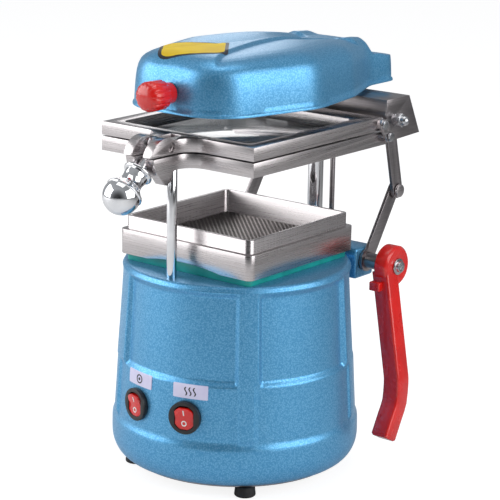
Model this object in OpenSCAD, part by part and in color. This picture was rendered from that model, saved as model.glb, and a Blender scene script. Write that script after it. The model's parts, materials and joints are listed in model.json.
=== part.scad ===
// Dental vacuum former: a round housing with the vacuum motor, a perforated forming table,
// a sheet frame lifted by a side lever on a post, and a heater hood that swings aside.
// Millimetres. +Z is up, the front faces -Y, the bench is z = 0, and the housing axis is x = y = 0.

/* [Housing] */
// Height of the deck above the bench
deck_z = 160; // [158:0.5:163]
// Radius of the housing at the deck
deck_r = 84.4; // [83:0.2:86]
// Radius of the ribs where they meet the base ring
shoulder_r = 91; // [90:0.2:92]
// Height of the base ring's shoulder
shoulder_z = 46; // [44:0.5:48]
// Largest radius of the base ring
ring_r = 93.3; // [92.5:0.1:94]
// Height of the base ring's widest place
ring_z = 28; // [26:0.5:32]
// Radius of the housing's bottom edge
housing_base_r = 81; // [80:0.5:83]
// Wall of the housing
housing_wall = 3; // [2.6:0.1:3.4]
// Thickness of the deck
deck_t = 4; // [3.5:0.5:5]
// Depth of the upper panels and height of the lower ones
panel_depth = 1.3; // [0.8:0.1:1.5]
// Height of the ledge between the upper and lower panels
ledge_z = 89; // [86:1:94]
// Width of the four ribs in degrees
rib_deg = 12; // [10:1:14]
// Radius of the suction hole in the deck
suction_r = 20; // [16:1:22]

/* [Base and feet] */
// Radius of a foot
foot_r = 8; // [7:0.5:8.5]
// Height of a foot
foot_h = 8; // [7:0.5:9]
// Distance of the feet from the housing axis
foot_pitch_r = 75.5; // [74:0.5:76.5]
// Thickness of the base plate
base_plate_t = 2; // [1.5:0.5:3]
// Shank radius of the screws in the feet
foot_screw_r = 2; // [1.5:0.25:2.25]

/* [Switches and inlet] */
// Radius of a switch bezel
bezel_r = 12.2; // [11.8:0.1:12.6]
// Height of the switches
switch_z = 62.5; // [61:0.5:64]
// Angle of the heat switch from the front
heat_angle = 15.6; // [14:0.2:18]
// Angle of the motor switch from the front
motor_angle = -13.5; // [-16:0.5:-12]
// Width of a rocker
rocker_w = 14.6; // [13:0.2:14.8]
// Height of a rocker
rocker_h = 16.8; // [15:0.2:17]
// Tilt of a rocker to each side in degrees
rocker_tilt = 8; // [5:1:8]
// Angle of the power inlet from the front
inlet_angle = 180; // [178:1:182]
// Angle of the fuse holder from the front
fuse_angle = -154; // [-157:1:-151]

/* [Vacuum motor] */
// Height of the motor plate
motor_plate_z = 102; // [100:1:103]
// Thickness of the motor plate
motor_plate_t = 4; // [3:0.5:4.5]
// Radius of the motor
motor_r = 46; // [42:1:48]
// Radius of the armature
armature_r = 23; // [20:0.5:23.5]
// Radius of the motor spindle
spindle_r = 4; // [3:0.5:4.5]
// Radius of the fan chamber
fan_can_r = 60; // [58:1:61]
// Height of the fan chamber
fan_can_h = 44; // [42:0.5:45]
// Radius of the fan wheel
fan_r = 53; // [48:1:55]

/* [Forming table] */
// Half width of the table's tray
table_half = 62.4; // [61.6:0.1:62.8]
// Half width of the table's rim
rim_half = 59; // [58.4:0.1:59.2]
// Half width inside the table
table_inner_half = 56.4; // [55.8:0.1:56.6]
// Corner radius of the table
table_corner_r = 5.5; // [4:0.5:6]
// Height of the gasket between the deck and the table
gasket_h = 9; // [8:0.5:10]
// How far the tray hangs down over the gasket
skirt_drop = 3.7; // [2:0.1:4.5]
// Thickness of the table's floor
table_floor_t = 3; // [2.5:0.5:3]
// Depth of the tray from its step to its floor
step_above_floor = 11.8; // [11:0.1:12]
// Height of the rim above the step
rim_h = 10; // [9:0.5:10]
// Depth from the rim to the perforated plate
plate_depth = 17.2; // [16.5:0.1:17.4]
// Pitch of the holes in the perforated plate
hole_pitch = 8; // [7.5:0.5:9]
// Width of a hole in the perforated plate
hole_w = 5; // [4:0.5:5.5]

/* [Lever lift] */
// Distance of the lift shaft behind the housing axis
shaft_y = 77.5; // [77:0.1:78]
// Depth of the lift shaft below the deck
shaft_drop = 6; // [5.5:0.1:6.5]
// Radius of the lift shaft
shaft_r = 6; // [5.5:0.1:6.2]
// Length of a crank between its pivots
crank_len = 58.8; // [58.4:0.1:59.2]
// Rise of the cranks from the rear at rest, in degrees
crank_angle = 57; // [56.6:0.1:57.4]
// Length of a link between its pivots
link_len = 59.4; // [59:0.1:59.8]
// Width of the crank and link bars
bar_w = 12; // [11:0.5:12.5]
// Thickness of the crank and link bars
bar_t = 2.5; // [2:0.1:2.5]
// Radius of the crank pins
crank_pin_r = 3; // [2.5:0.1:3.5]
// Radius of the handle's hub
hub_r = 15.5; // [14.5:0.1:16]
// Width of the handle's hub
hub_w = 11.5; // [11:0.5:13]
// Width of the handle's arm
arm_w = 14.5; // [14:0.5:15.5]
// Depth of the handle's arm
arm_d = 14.6; // [13.5:0.1:15]

/* [Post and rods] */
// Distance of the post behind the housing axis
post_y = 96; // [95.8:0.1:96.4]
// Radius of the post
post_r = 6; // [5.5:0.1:6.2]
// Sideways place of the thin rear rod
rear_rod_x = 16.2; // [15.5:0.1:17]
// Radius of the thin rear rod
rear_rod_r = 2; // [1.5:0.1:2.2]
// Distance of the front rod's axis from the deck's edge
rod_edge = 9.4; // [9.2:0.1:9.8]
// Radius of the front rod
front_rod_r = 3.75; // [3.5:0.05:3.9]

/* [Sheet frame] */
// Half width of the frame
frame_half = 71; // [70.6:0.1:71.4]
// Distance of the frame's front edge before the axis
frame_front = 71.5; // [71.2:0.1:71.8]
// Distance of the lower plate's rear edge behind the axis
lower_rear = 88; // [87.6:0.1:88.2]
// Distance of the upper plate's rear edge behind the axis
upper_rear = 82; // [81:0.1:82.4]
// Thickness of the lower plate
lower_t = 10.4; // [10:0.1:10.8]
// Thickness of the upper plate
upper_t = 9.75; // [9.5:0.05:10]
// Thickness of the plastic sheet
sheet_t = 0.9; // [0.5:0.1:1.2]
// Edge length of the square plastic sheet
sheet_size = 127; // [125:1:128]
// Half width of the window
window_half = 60; // [59:0.1:60.5]
// Corner radius of the window
window_r = 6; // [5:0.5:6.5]
// Radius of the hollow flare beside the ears
flare_r = 14.5; // [13.5:0.1:14.8]
// Height of the bracket bolts above the lower plate's underside
bolt_rise = 18; // [17.8:0.1:18.2]

/* [Lift bracket] */
// Thickness of the bracket's steel
bracket_t = 2; // [1.6:0.1:2.2]
// Height of the bracket above the bracket bolts
bracket_rise = 16; // [15.8:0.1:16.3]
// Thickness of the hinge straps
strap_t = 2; // [1.5:0.1:2.4]
// Half width of the slide block
block_half = 22; // [20:0.5:22]
// Radius of the bracket bolts
bolt_r = 3; // [2.5:0.1:3.4]

/* [Clamp] */
// Half width of the slot between the ears
slot_half = 5; // [4.8:0.1:5.2]
// Outer half width of the ears
ear_half = 13; // [12:0.1:13.5]
// Radius of the round ears
ear_r = 16; // [15.5:0.1:16.3]
// Radius of the clamp pin
clamp_pin_r = 3; // [2.5:0.1:3.4]
// Distance of the clamp pin before the frame's edge
pin_reach = 19; // [18.8:0.1:19.3]
// Radius of the clamp stud
stud_r = 3.5; // [3:0.1:3.8]
// Slope of the clamp stud below the horizontal in degrees
stud_slope = 38.5; // [37:0.5:39]
// Distance from the clamp pin to the knob's collar
collar_s = 24.5; // [24.3:0.1:25]
// Radius of the clamp knob's collar
collar_r = 11; // [10:0.5:11]
// Radius of the clamp knob's head
knob_head_r = 13.5; // [12.5:0.5:14]

/* [Heater hood] */
// Height of the hood's rim above the bracket
hood_gap = 3.6; // [3.4:0.1:4.5]
// Height of the hood
hood_h = 38.4; // [37.5:0.1:39]
// Height of the hood's tail
tail_h = 18.9; // [18.6:0.1:20]
// Wall of the hood
hood_wall = 2.5; // [2:0.1:2.6]
// Half width of the hood
hood_half = 67.5; // [67:0.5:69]
// Reach of the hood in front of the axis
hood_front = 79; // [77:0.5:80]
// Half width of the hood's tail
tail_half = 38; // [36:0.5:40]
// Reach of the hood's tail behind the axis
tail_rear = 146; // [143:1:148]
// Radius of the reflector
reflector_r = 50; // [46:1:51]
// Radius of the heating tube
tube_r = 2.6; // [2:0.1:3]
// Radius of the hood knob
hood_knob_r = 10.7; // [10.5:0.1:12]
// Length of the hood knob
hood_knob_l = 23; // [20:0.5:24]

/* [Fits] */
// Radial clearance of a running fit
run_fit = 0.05; // [0.02:0.01:0.1]
// Radial clearance of a fixed fit
fixed_fit = 0.02; // [0.01:0.01:0.05]
// Gap between pieces that pass each other
pass_gap = 0.5; // [0.4:0.05:0.6]

/* [Hidden] */
$fn = 72;

// Far enough past a face for a clean cut
cut = 1;

// Housing
housing_base_z = foot_h + base_plate_t;
flange_t = 4;
flange_r = foot_pitch_r - 8;
base_plate_r = housing_base_r - 1;
foot_boss_r = 5;
foot_boss_h = 8;
edge_r = 3;
ring_step = 6;
lower_rib_deg = rib_deg - 3;
panel_top = deck_z - 5;
motor_boss_r = 6;
motor_boss_h = 20;

// Radius of the ribs at a height
function rib_r(z) = deck_r + (shoulder_r - deck_r) * (deck_z - z) / (deck_z - shoulder_z);
// A point on the curve below the base ring, from 0 at the bottom edge to 90 at the ring
function base_point(a) = [
    housing_base_r + (ring_r - housing_base_r) * sin(a),
    housing_base_z + (ring_z - housing_base_z) * (1 - cos(a))
];

// Switches, inlet and fuse holder
lower_panel_r = rib_r(switch_z) + panel_depth;
seat_r = lower_panel_r - 1.5;
bezel_t = 3.5;
barrel_r = bezel_r - 0.9;
barrel_l = 20;
rocker_up = 3;
rocker_round_r = rocker_h / 2 + 0.3;
rocker_gap = 0.6;
rocker_down = 5;
pocket_h = rocker_h * cos(rocker_tilt) + 2 * rocker_up * sin(rocker_tilt) + pass_gap;
pocket_w = rocker_w + 2 * 0.3;
pocket_d = 9.5;
rocker_z = bezel_t - 0.5;
rocker_pin_r = 1.2;
rocker_pin_l = pocket_w + 2;
inlet_w = 27;
inlet_h = 20;
inlet_flange = 4;
inlet_seat_r = lower_panel_r + 0.6;
fuse_r = 6.5;
fuse_flange_r = 9;

// Vacuum motor
can_base_z = motor_plate_z + motor_plate_t;
can_top_z = can_base_z + fan_can_h;
can_wall = 2;
motor_boss_pitch_r = rib_r(motor_plate_z) - housing_wall - 4.5;
motor_plate_r = rib_r(can_base_z) - housing_wall - 1;
cup_wall = 2;
cup_h = 48;
stator_h = 36;
stator_top = motor_plate_z - 3;
fan_z = can_base_z + 6;
blade_h = 28;
blade_t = 2;
blades = 9;
motor_gasket_w = 10;

// Forming table
floor_z = deck_z + gasket_h;
tray_top_z = floor_z + table_floor_t + step_above_floor;
table_top_z = tray_top_z + rim_h;
skirt_z = floor_z - skirt_drop;
plate_top_z = table_top_z - plate_depth;
plate_t = 1.5;
ledge_w = 3;
gasket_half = table_half - 3.4;
gasket_w = 7;
table_screw_xy = 42;
table_boss_r = 5;
table_screw_r = 2;
arch_rise = 3.2;

// Lever lift
shaft_z = deck_z - shaft_drop;
link_gap = 2.5;
link_x = frame_half - link_gap - bar_t;
crank_x = link_x - 0.7 - bar_t;
lug_half = crank_x - 0.8;
lug_front = shaft_y - 11.5;
lug_rear = shaft_y + 11.5;
lug_bottom = shaft_z - 13.5;
lug_top = shaft_z + 10;
bush_wall = 2;
bush_l = 12;
hub_x = frame_half + bracket_t + 8;
hub_edge = 2;
washer_r = 6.3;
screw_r = 2.5;
arm_top = [hub_x + 4.3, shaft_y - 6.5, shaft_z - 4];
knee_x = hub_x + 21.2;
arm_knee = [knee_x, shaft_y - 11, shaft_z - 84];
arm_bend = [knee_x, shaft_y - 12, shaft_z - 100];
arm_end = [knee_x, shaft_y - 26.5, shaft_z - 127];
pin_head_t = 2.2;
pin_head_r = 5;
crank_b = [shaft_y + crank_len * cos(crank_angle), shaft_z + crank_len * sin(crank_angle)];
bolt_y = post_y - 0.5;
bolt_z = crank_b[1] + sqrt(pow(link_len, 2) - pow(crank_b[0] - bolt_y, 2));

// Sheet frame
frame_z = bolt_z - bolt_rise;
lower_top = frame_z + lower_t;
upper_z = lower_top + sheet_t + 0.3;
upper_top = upper_z + upper_t;
window_front = 62;
window_rear = 60;
sheet_y = (window_rear - window_front) / 2;
flare_x = ear_half + flare_r;
flare_y = frame_front + flare_r;
rod_top = lower_top - 1.4;
front_rod_y = deck_r - rod_edge;
slot_rear = front_rod_y - front_rod_r - pass_gap;

// Lift bracket
bracket_top = bolt_z + bracket_rise;
bracket_front = lower_rear - 3.4;
bracket_rear = 114;
cheek_rear = 129;
cheek_low = frame_z + 2;
lip_h = 12.2;
block_front = lower_rear;
block_rear = post_y + 12;
wing_half = 40;
wing_d = 6;
wing_screw_x = 31;
block_screw_x = 15;
block_screw_y = post_y + 8;
bush_r = post_r + 1.5;
pivot_y = lower_rear - 1.5;
pivot_z = frame_z + 6.3;
pivot_r = 2.5;
strap_front_y = upper_rear - 3.2;
strap_front_z = upper_z + 4.8;
strap_screw_r = 2;
strap_x = frame_half + bracket_t + 0.3;
strap_end_r = 4.2;

// Clamp
pin_y = frame_front + pin_reach;
pin_z = upper_z + 4.9;
ear_y = pin_y + 6;
ear_z = upper_top - 13.55;
eye_r = 6;
stud_end = 43;
stud_thread_gap = run_fit;
lug_s = collar_s - 2.2;

// Heater hood
hood_z = bracket_top + hood_gap;
hood_top = hood_z + hood_h;
tail_top = hood_z + tail_h;
front_r = 38;
front_cx = 15;
front_cy = hood_front - front_r;
mid_r = 37.5;
mid_cx = hood_half - mid_r;
mid_cy = 8;
rear_r = 10;
rear_cx = tail_half - rear_r;
rear_cy = 100;
bead_h = 2;
bead_w = 1.2;
collar_z = bracket_top + 1;
post_collar_h = 5;
socket_z = collar_z + post_collar_h + 0.3;
socket_top = tail_top - hood_wall;
post_top = socket_top - 1.5;
hood_roof = hood_top - hood_wall;
reflector_top = hood_z + 20;
reflector_t = 1.2;
reflector_low = hood_z + 3;
element_z = hood_z + 7;
standoff_r = 4;
standoff_pitch_r = 24;
knob_axis_z = hood_z + 14.4;
knob_neck_l = 8.2;
flutes = 10;

// Places children on the housing's side: +Z points outwards, +Y to the right and +X down
module on_side(angle, z) {
    translate([0, 0, z]) rotate([0, 0, angle - 90]) rotate([0, 90, 0]) children();
}

// Repeats children on the four diagonals
module on_diagonals(r) {
    for (a = [45, 135, 225, 315]) rotate([0, 0, a]) translate([r, 0, 0]) children();
}

// Repeats children at the four corners of a square
module at_corners(half) {
    for (x = [-half, half]) for (y = [-half, half]) translate([x, y, 0]) children();
}

// A cylinder along X from x0 to x1
module bar_x(x0, x1, r, y, z) {
    translate([x0, y, z]) rotate([0, 90, 0]) cylinder(h = x1 - x0, r = r);
}

// Extrudes a profile drawn in Y and Z along X
module along_x(x0, x1) {
    translate([x0, 0, 0]) rotate([90, 0, 90]) linear_extrude(x1 - x0) children();
}

// Copies children to the left side as well
module both_sides() {
    children();
    mirror([1, 0, 0]) children();
}

// A rectangle with round corners
module round_rect(x0, x1, y0, y1, r) {
    translate([x0 + r, y0]) square([x1 - x0 - 2 * r, y1 - y0]);
    translate([x0, y0 + r]) square([x1 - x0, y1 - y0 - 2 * r]);
    for (x = [x0 + r, x1 - r]) for (y = [y0 + r, y1 - r]) translate([x, y]) circle(r);
}

// A square block with round upright edges
module round_block(half, z0, z1, r) {
    translate([0, 0, z0]) linear_extrude(z1 - z0) round_rect(-half, half, -half, half, r);
}

// A pan-head screw that points down, its head's underside at the origin
module screw_down(r, l, head_r, head_h) {
    translate([0, 0, -l]) cylinder(h = l + head_h / 2, r = r);
    difference() {
        cylinder(h = head_h, r = head_r);
        translate([0, 0, head_h * 0.5]) cylinder(h = head_h, r = r * 0.9, $fn = 6);
    }
}

// Housing

// One sector of a ring that follows the ribs' slope
module panel_sector(centre, span, z0, z1, inset, outset) {
    rotate([0, 0, centre - span / 2]) rotate_extrude(angle = span) polygon([
        [rib_r(z0) - inset, z0],
        [rib_r(z0) + outset, z0],
        [rib_r(z1) + outset, z1],
        [rib_r(z1) - inset, z1]
    ]);
}

module housing_shell() {
    rotate_extrude() polygon(concat(
        [for (i = [0:6]) base_point(15 * i)],
        [
            [ring_r - 0.5, shoulder_z - ring_step],
            [shoulder_r, shoulder_z],
            [rib_r(deck_z - edge_r), deck_z - edge_r],
            [deck_r - 1, deck_z - 1],
            [deck_r - edge_r, deck_z],
            [suction_r, deck_z],
            [suction_r, deck_z - deck_t],
            [rib_r(deck_z - deck_t) - housing_wall, deck_z - deck_t],
            [shoulder_r - housing_wall, shoulder_z],
            [ring_r - housing_wall, ring_z],
            [ring_r - housing_wall - 5.3, housing_base_z + flange_t],
            [flange_r, housing_base_z + flange_t],
            [flange_r, housing_base_z]
        ]
    ));
}

// Transverse lugs for the lift shaft and the boss behind them for the post
module shaft_lugs() {
    along_x(-lug_half, lug_half) polygon([
        [lug_front, lug_bottom],
        [lug_rear - 3, lug_bottom],
        [lug_rear, lug_bottom + 3],
        [lug_rear, lug_top - 3],
        [lug_rear - 3, lug_top],
        [lug_front + 3, lug_top],
        [lug_front, lug_top - 3]
    ]);
    along_x(-block_half, block_half) polygon([
        [lug_rear - 8, lug_bottom - 24],
        [lug_rear - 3, lug_bottom - 26],
        [block_rear, lug_bottom - 4],
        [block_rear, lug_top],
        [lug_rear - 8, lug_top]
    ]);
}

module housing() {
    color("#4a90bd") difference() {
        union() {
            difference() {
                housing_shell();
                for (a = [0, 90, 180, 270])
                    panel_sector(a, 90 - rib_deg, ledge_z, panel_top, panel_depth, 4);
            }
            for (a = [0, 90, 180, 270])
                panel_sector(a, 90 - lower_rib_deg, shoulder_z - 2, ledge_z - 1.5,
                    panel_depth, panel_depth);
            shaft_lugs();
            translate([0, 0, housing_base_z + flange_t - cut])
                on_diagonals(foot_pitch_r) cylinder(h = foot_boss_h + cut, r = foot_boss_r);
            translate([0, 0, motor_plate_z - motor_boss_h])
                on_diagonals(motor_boss_pitch_r) cylinder(h = motor_boss_h, r = motor_boss_r);
            translate([0, 0, deck_z - cut])
                at_corners(table_screw_xy) cylinder(h = gasket_h + cut, r = table_boss_r);
            on_side(inlet_angle, switch_z) translate([0, 0, inlet_seat_r - 12])
                linear_extrude(12) square([inlet_h + 10, inlet_w + 12], center = true);
        }
        bar_x(-lug_half - cut, lug_half + cut, shaft_r + 1, shaft_y, shaft_z);
        both_sides() bar_x(lug_half - bush_l, lug_half + cut, shaft_r + bush_wall + fixed_fit,
            shaft_y, shaft_z);
        translate([0, post_y, lug_bottom - 20]) cylinder(h = 60, r = post_r + fixed_fit);
        translate([rear_rod_x, post_y, lug_bottom + 4])
            cylinder(h = 40, r = rear_rod_r + fixed_fit);
        translate([0, -front_rod_y, deck_z - deck_t - cut])
            cylinder(h = deck_t + 2 * cut, r = front_rod_r + fixed_fit);
        translate([0, 0, housing_base_z - cut]) on_diagonals(foot_pitch_r)
            cylinder(h = flange_t + foot_boss_h, r = foot_screw_r + fixed_fit);
        translate([0, 0, motor_plate_z - 14]) on_diagonals(motor_boss_pitch_r)
            cylinder(h = 14 + cut, r = foot_screw_r + fixed_fit);
        translate([0, 0, deck_z - deck_t - cut]) at_corners(table_screw_xy)
            cylinder(h = deck_t + gasket_h + 2 * cut, r = table_screw_r + fixed_fit);
        for (a = [heat_angle, motor_angle]) on_side(a, switch_z) {
            translate([0, 0, seat_r - 14]) cylinder(h = 24, r = barrel_r + fixed_fit);
            translate([0, 0, seat_r]) cylinder(h = 10, r = bezel_r + 0.2);
        }
        on_side(inlet_angle, switch_z) translate([0, 0, inlet_seat_r - 14]) linear_extrude(20)
            square([inlet_h + 2 * fixed_fit, inlet_w + 2 * fixed_fit], center = true);
        on_side(fuse_angle, switch_z) {
            translate([0, 0, seat_r - 14]) cylinder(h = 24, r = fuse_r + fixed_fit);
            translate([0, 0, seat_r]) cylinder(h = 10, r = fuse_flange_r + 0.2);
        }
    }
}

module base_plate() {
    color("#3b4046") difference() {
        translate([0, 0, foot_h]) cylinder(h = base_plate_t, r = base_plate_r);
        translate([0, 0, foot_h - cut]) on_diagonals(foot_pitch_r)
            cylinder(h = base_plate_t + 2 * cut, r = foot_screw_r + fixed_fit);
        for (a = [0:30:330]) rotate([0, 0, a]) translate([28, -2.5, foot_h - cut])
            cube([26, 5, base_plate_t + 2 * cut]);
    }
}

module feet() {
    color("#1c1c1e") on_diagonals(foot_pitch_r) difference() {
        rotate_extrude() polygon([
            [0, 0],
            [foot_r - 1, 0],
            [foot_r, 1],
            [foot_r - 0.8, foot_h],
            [0, foot_h]
        ]);
        translate([0, 0, -cut]) cylinder(h = foot_h + 2 * cut, r = foot_screw_r + fixed_fit);
        translate([0, 0, -cut]) cylinder(h = 4 + cut, r = foot_screw_r * 2 + 0.3);
    }
}

module foot_screws() {
    color("silver") on_diagonals(foot_pitch_r) translate([0, 0, 4]) mirror([0, 0, 1])
        screw_down(foot_screw_r, foot_h - 4 + base_plate_t + flange_t + 4, foot_screw_r * 2, 2);
}

// Vacuum motor

module motor_bracket() {
    color("#8f9499") difference() {
        union() {
            translate([0, 0, motor_plate_z]) cylinder(h = motor_plate_t, r = motor_plate_r);
            translate([0, 0, motor_plate_z - cup_h]) cylinder(h = cup_h + cut, r = motor_r + cup_wall);
        }
        translate([0, 0, motor_plate_z - cup_h + cup_wall + 4])
            cylinder(h = cup_h - cup_wall - 4, r = motor_r);
        translate([0, 0, motor_plate_z - cut])
            cylinder(h = motor_plate_t + 2 * cut, r = armature_r);
        translate([0, 0, motor_plate_z - cup_h - cut]) cylinder(h = 12, r = spindle_r + run_fit);
        for (a = [0:45:315]) rotate([0, 0, a + 22.5])
            translate([motor_r - 6, -5, motor_plate_z - cup_h + 10]) cube([12, 10, 8]);
        translate([0, 0, motor_plate_z - cut]) on_diagonals(motor_boss_pitch_r)
            cylinder(h = motor_plate_t + 2 * cut, r = foot_screw_r + fixed_fit);
    }
}

module motor_bracket_screws() {
    color("silver") translate([0, 0, can_base_z]) on_diagonals(motor_boss_pitch_r)
        screw_down(foot_screw_r, motor_plate_t + 10, foot_screw_r * 2, 2.4);
}

module motor_stator() {
    color("#b0703a") difference() {
        translate([0, 0, stator_top - stator_h]) cylinder(h = stator_h, r = motor_r - fixed_fit);
        translate([0, 0, stator_top - stator_h - cut])
            cylinder(h = stator_h + 2 * cut, r = armature_r + 0.6);
        for (a = [0:90:270]) rotate([0, 0, a]) translate([armature_r + 4, -6, 0])
            cube([12, 12, stator_top + cut]);
    }
}

module fan_can() {
    color("#9aa0a5") difference() {
        translate([0, 0, can_base_z]) cylinder(h = fan_can_h, r = fan_can_r);
        translate([0, 0, can_base_z - cut])
            cylinder(h = fan_can_h - can_wall + cut, r = fan_can_r - can_wall);
        translate([0, 0, can_top_z - can_wall - cut]) cylinder(h = can_wall + 2 * cut, r = suction_r);
        for (a = [0:45:315]) rotate([0, 0, a + 22.5])
            translate([fan_can_r - 6, -9, can_base_z + 6]) cube([12, 18, 26]);
    }
}

module motor_gasket() {
    color("#202224") translate([0, 0, can_top_z]) difference() {
        cylinder(h = deck_z - deck_t - can_top_z, r = suction_r + motor_gasket_w);
        translate([0, 0, -cut]) cylinder(h = deck_z, r = suction_r);
    }
}

module fan_rotor() {
    color("#a9adb2") {
        translate([0, 0, motor_plate_z - cup_h + 1]) cylinder(h = cup_h + motor_plate_t + 8, r = spindle_r);
        translate([0, 0, stator_top - stator_h + 1]) cylinder(h = stator_h - 2, r = armature_r - 0.4);
        translate([0, 0, fan_z]) cylinder(h = 2, r = fan_r);
        translate([0, 0, fan_z]) cylinder(h = 12, r = 12);
        for (i = [0:blades - 1]) rotate([0, 0, i * 360 / blades])
            translate([16, 0, fan_z + cut]) rotate([0, 0, 25])
            cube([fan_r - 20, blade_t, blade_h]);
    }
}

// Switches, inlet and fuse holder

module switch_body(angle) {
    color("#17181a") on_side(angle, switch_z) translate([0, 0, seat_r]) difference() {
        union() {
            cylinder(h = bezel_t, r = bezel_r);
            translate([0, 0, -barrel_l]) cylinder(h = barrel_l + cut, r = barrel_r);
        }
        intersection() {
            translate([-pocket_h / 2, -pocket_w / 2, bezel_t - pocket_d])
                cube([pocket_h, pocket_w, pocket_d + cut]);
            translate([0, 0, bezel_t - pocket_d])
                cylinder(h = pocket_d + 2 * cut, r = rocker_round_r + rocker_gap);
        }
        translate([0, -rocker_pin_l / 2 - 0.3, rocker_z - 2.5]) rotate([-90, 0, 0])
            cylinder(h = rocker_pin_l + 0.6, r = rocker_pin_r + run_fit);
    }
}

module rocker(angle) {
    color("#e0201e") on_side(angle, switch_z) translate([0, 0, seat_r + rocker_z - 2.5]) {
        rotate([0, rocker_tilt, 0]) intersection() {
            translate([0, 0, -rocker_up]) cylinder(h = 3 * rocker_up, r = rocker_round_r);
            translate([0, -rocker_w / 2, 0]) rotate([-90, 0, 0])
                linear_extrude(rocker_w) polygon([
                    [-rocker_h / 2, -rocker_up - 0.8],
                    [0, -rocker_up + 0.6],
                    [rocker_h / 2, -rocker_up - 0.8],
                    [rocker_h / 2 - 1, 1],
                    [2, rocker_down - 1],
                    [-2, rocker_down - 1],
                    [-rocker_h / 2 + 1, 1]
                ]);
        }
        translate([0, -rocker_pin_l / 2, 0]) rotate([-90, 0, 0])
            cylinder(h = rocker_pin_l, r = rocker_pin_r);
    }
}

module heat_switch_body() { switch_body(heat_angle); }
module motor_switch_body() { switch_body(motor_angle); }
module heat_rocker() { rocker(heat_angle); }
module motor_rocker() { rocker(motor_angle); }

module power_inlet() {
    color("#222326") on_side(inlet_angle, switch_z) translate([0, 0, inlet_seat_r]) difference() {
        union() {
            linear_extrude(2.5)
                square([inlet_h + inlet_flange, inlet_w + inlet_flange], center = true);
            translate([0, 0, -22]) linear_extrude(22 + cut) square([inlet_h, inlet_w], center = true);
        }
        translate([0, 0, -16]) linear_extrude(20) square([inlet_h - 4, inlet_w - 4], center = true);
    }
    color("silver") on_side(inlet_angle, switch_z) translate([0, 0, inlet_seat_r - 18])
        for (p = [[-2, -7], [-2, 7], [3, 0]]) translate([p[0] - 2, p[1] - 1, 0]) cube([4, 2, 16]);
}

module fuse_holder() {
    color("#1b1c1f") on_side(fuse_angle, switch_z) translate([0, 0, seat_r]) difference() {
        union() {
            cylinder(h = 3.5, r = fuse_flange_r);
            translate([0, 0, -26]) cylinder(h = 27, r = fuse_r);
            translate([0, 0, 3]) cylinder(h = 4, r = fuse_r);
        }
        translate([-1, -5, 5.8]) cube([2, 10, 3]);
    }
}

// Forming table

module table_gasket() {
    color("#128080") difference() {
        round_block(gasket_half, deck_z, floor_z, table_corner_r - 1);
        round_block(gasket_half - gasket_w, deck_z - cut, floor_z + cut, table_corner_r - 2);
    }
}

module forming_table() {
    color("#a39a93") difference() {
        union() {
            round_block(table_half, skirt_z, tray_top_z, table_corner_r);
            round_block(rim_half, tray_top_z - cut, table_top_z, table_corner_r - 1);
        }
        round_block(table_inner_half, plate_top_z - plate_t, table_top_z + cut, table_corner_r - 2);
        round_block(table_inner_half - ledge_w, floor_z + table_floor_t, table_top_z, table_corner_r - 3);
        round_block(gasket_half + 0.1, skirt_z - cut, floor_z, table_corner_r - 1);
        translate([0, 0, floor_z - cut]) cylinder(h = table_floor_t + 2 * cut, r = suction_r);
        translate([0, 0, floor_z - cut]) at_corners(table_screw_xy)
            cylinder(h = table_floor_t + 2 * cut, r = table_screw_r + fixed_fit);
        for (s = [0, 180]) rotate([0, 0, s]) translate([0, -table_half - cut, skirt_z + arch_rise - 190])
            rotate([-90, 0, 0]) cylinder(h = 5, r = 190, $fn = 200);
    }
}

module table_screws() {
    color("silver") translate([0, 0, floor_z + table_floor_t]) at_corners(table_screw_xy)
        screw_down(table_screw_r, table_floor_t + gasket_h, table_screw_r * 2, 2);
}

module perforated_plate() {
    holes = floor((table_inner_half - 4) / hole_pitch);
    color("#5d5a58") translate([0, 0, plate_top_z - plate_t]) linear_extrude(plate_t) difference() {
        square(2 * (table_inner_half - 0.2) - 2, center = true);
        for (i = [-holes:holes]) for (j = [-holes:holes])
            translate([i * hole_pitch, j * hole_pitch]) circle(d = hole_w, $fn = 6);
    }
}

// Post and rods

module front_rod() {
    color("silver") translate([0, -front_rod_y, deck_z - deck_t - 10])
        cylinder(h = rod_top - deck_z + deck_t + 10, r = front_rod_r);
}

module front_rod_nut() {
    color("silver") translate([0, -front_rod_y, deck_z - deck_t - 5]) difference() {
        cylinder(h = 5, r = 5.2, $fn = 6);
        translate([0, 0, -cut]) cylinder(h = 5 + 2 * cut, r = front_rod_r + fixed_fit);
    }
}

module rear_post() {
    color("silver") translate([0, post_y, lug_bottom - 20])
        cylinder(h = post_top - lug_bottom + 20, r = post_r);
}

module post_collar() {
    color("#b9bcc0") translate([0, post_y, collar_z]) difference() {
        cylinder(h = post_collar_h, r = post_r + 4);
        translate([0, 0, -cut]) cylinder(h = post_collar_h + 2 * cut, r = post_r + fixed_fit);
    }
}

module rear_rod() {
    color("#3a3a40") translate([rear_rod_x, post_y, lug_bottom + 4])
        cylinder(h = bolt_z - lug_bottom - 2, r = rear_rod_r);
}

module shaft_bushes() {
    color("#b58a3c") both_sides() difference() {
        bar_x(lug_half - bush_l, lug_half, shaft_r + bush_wall, shaft_y, shaft_z);
        bar_x(lug_half - bush_l - cut, lug_half + cut, shaft_r + run_fit, shaft_y, shaft_z);
    }
}

// Lever and linkage

module lift_shaft() {
    color("#8c8a88") difference() {
        bar_x(-crank_x - bar_t - 1, hub_x + hub_w - 1.5, shaft_r, shaft_y, shaft_z);
        bar_x(hub_x + hub_w - 8, hub_x + hub_w, screw_r + fixed_fit, shaft_y, shaft_z);
    }
}

// One end of the arm as a thin slice, centred on the arm's axis
module arm_slice(at, tilt) {
    translate(at) rotate([-tilt, 0, 0]) linear_extrude(0.6)
        round_rect(-arm_w / 2, arm_w / 2, -arm_d / 2, arm_d / 2, 1.6, $fn = 24);
}

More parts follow.
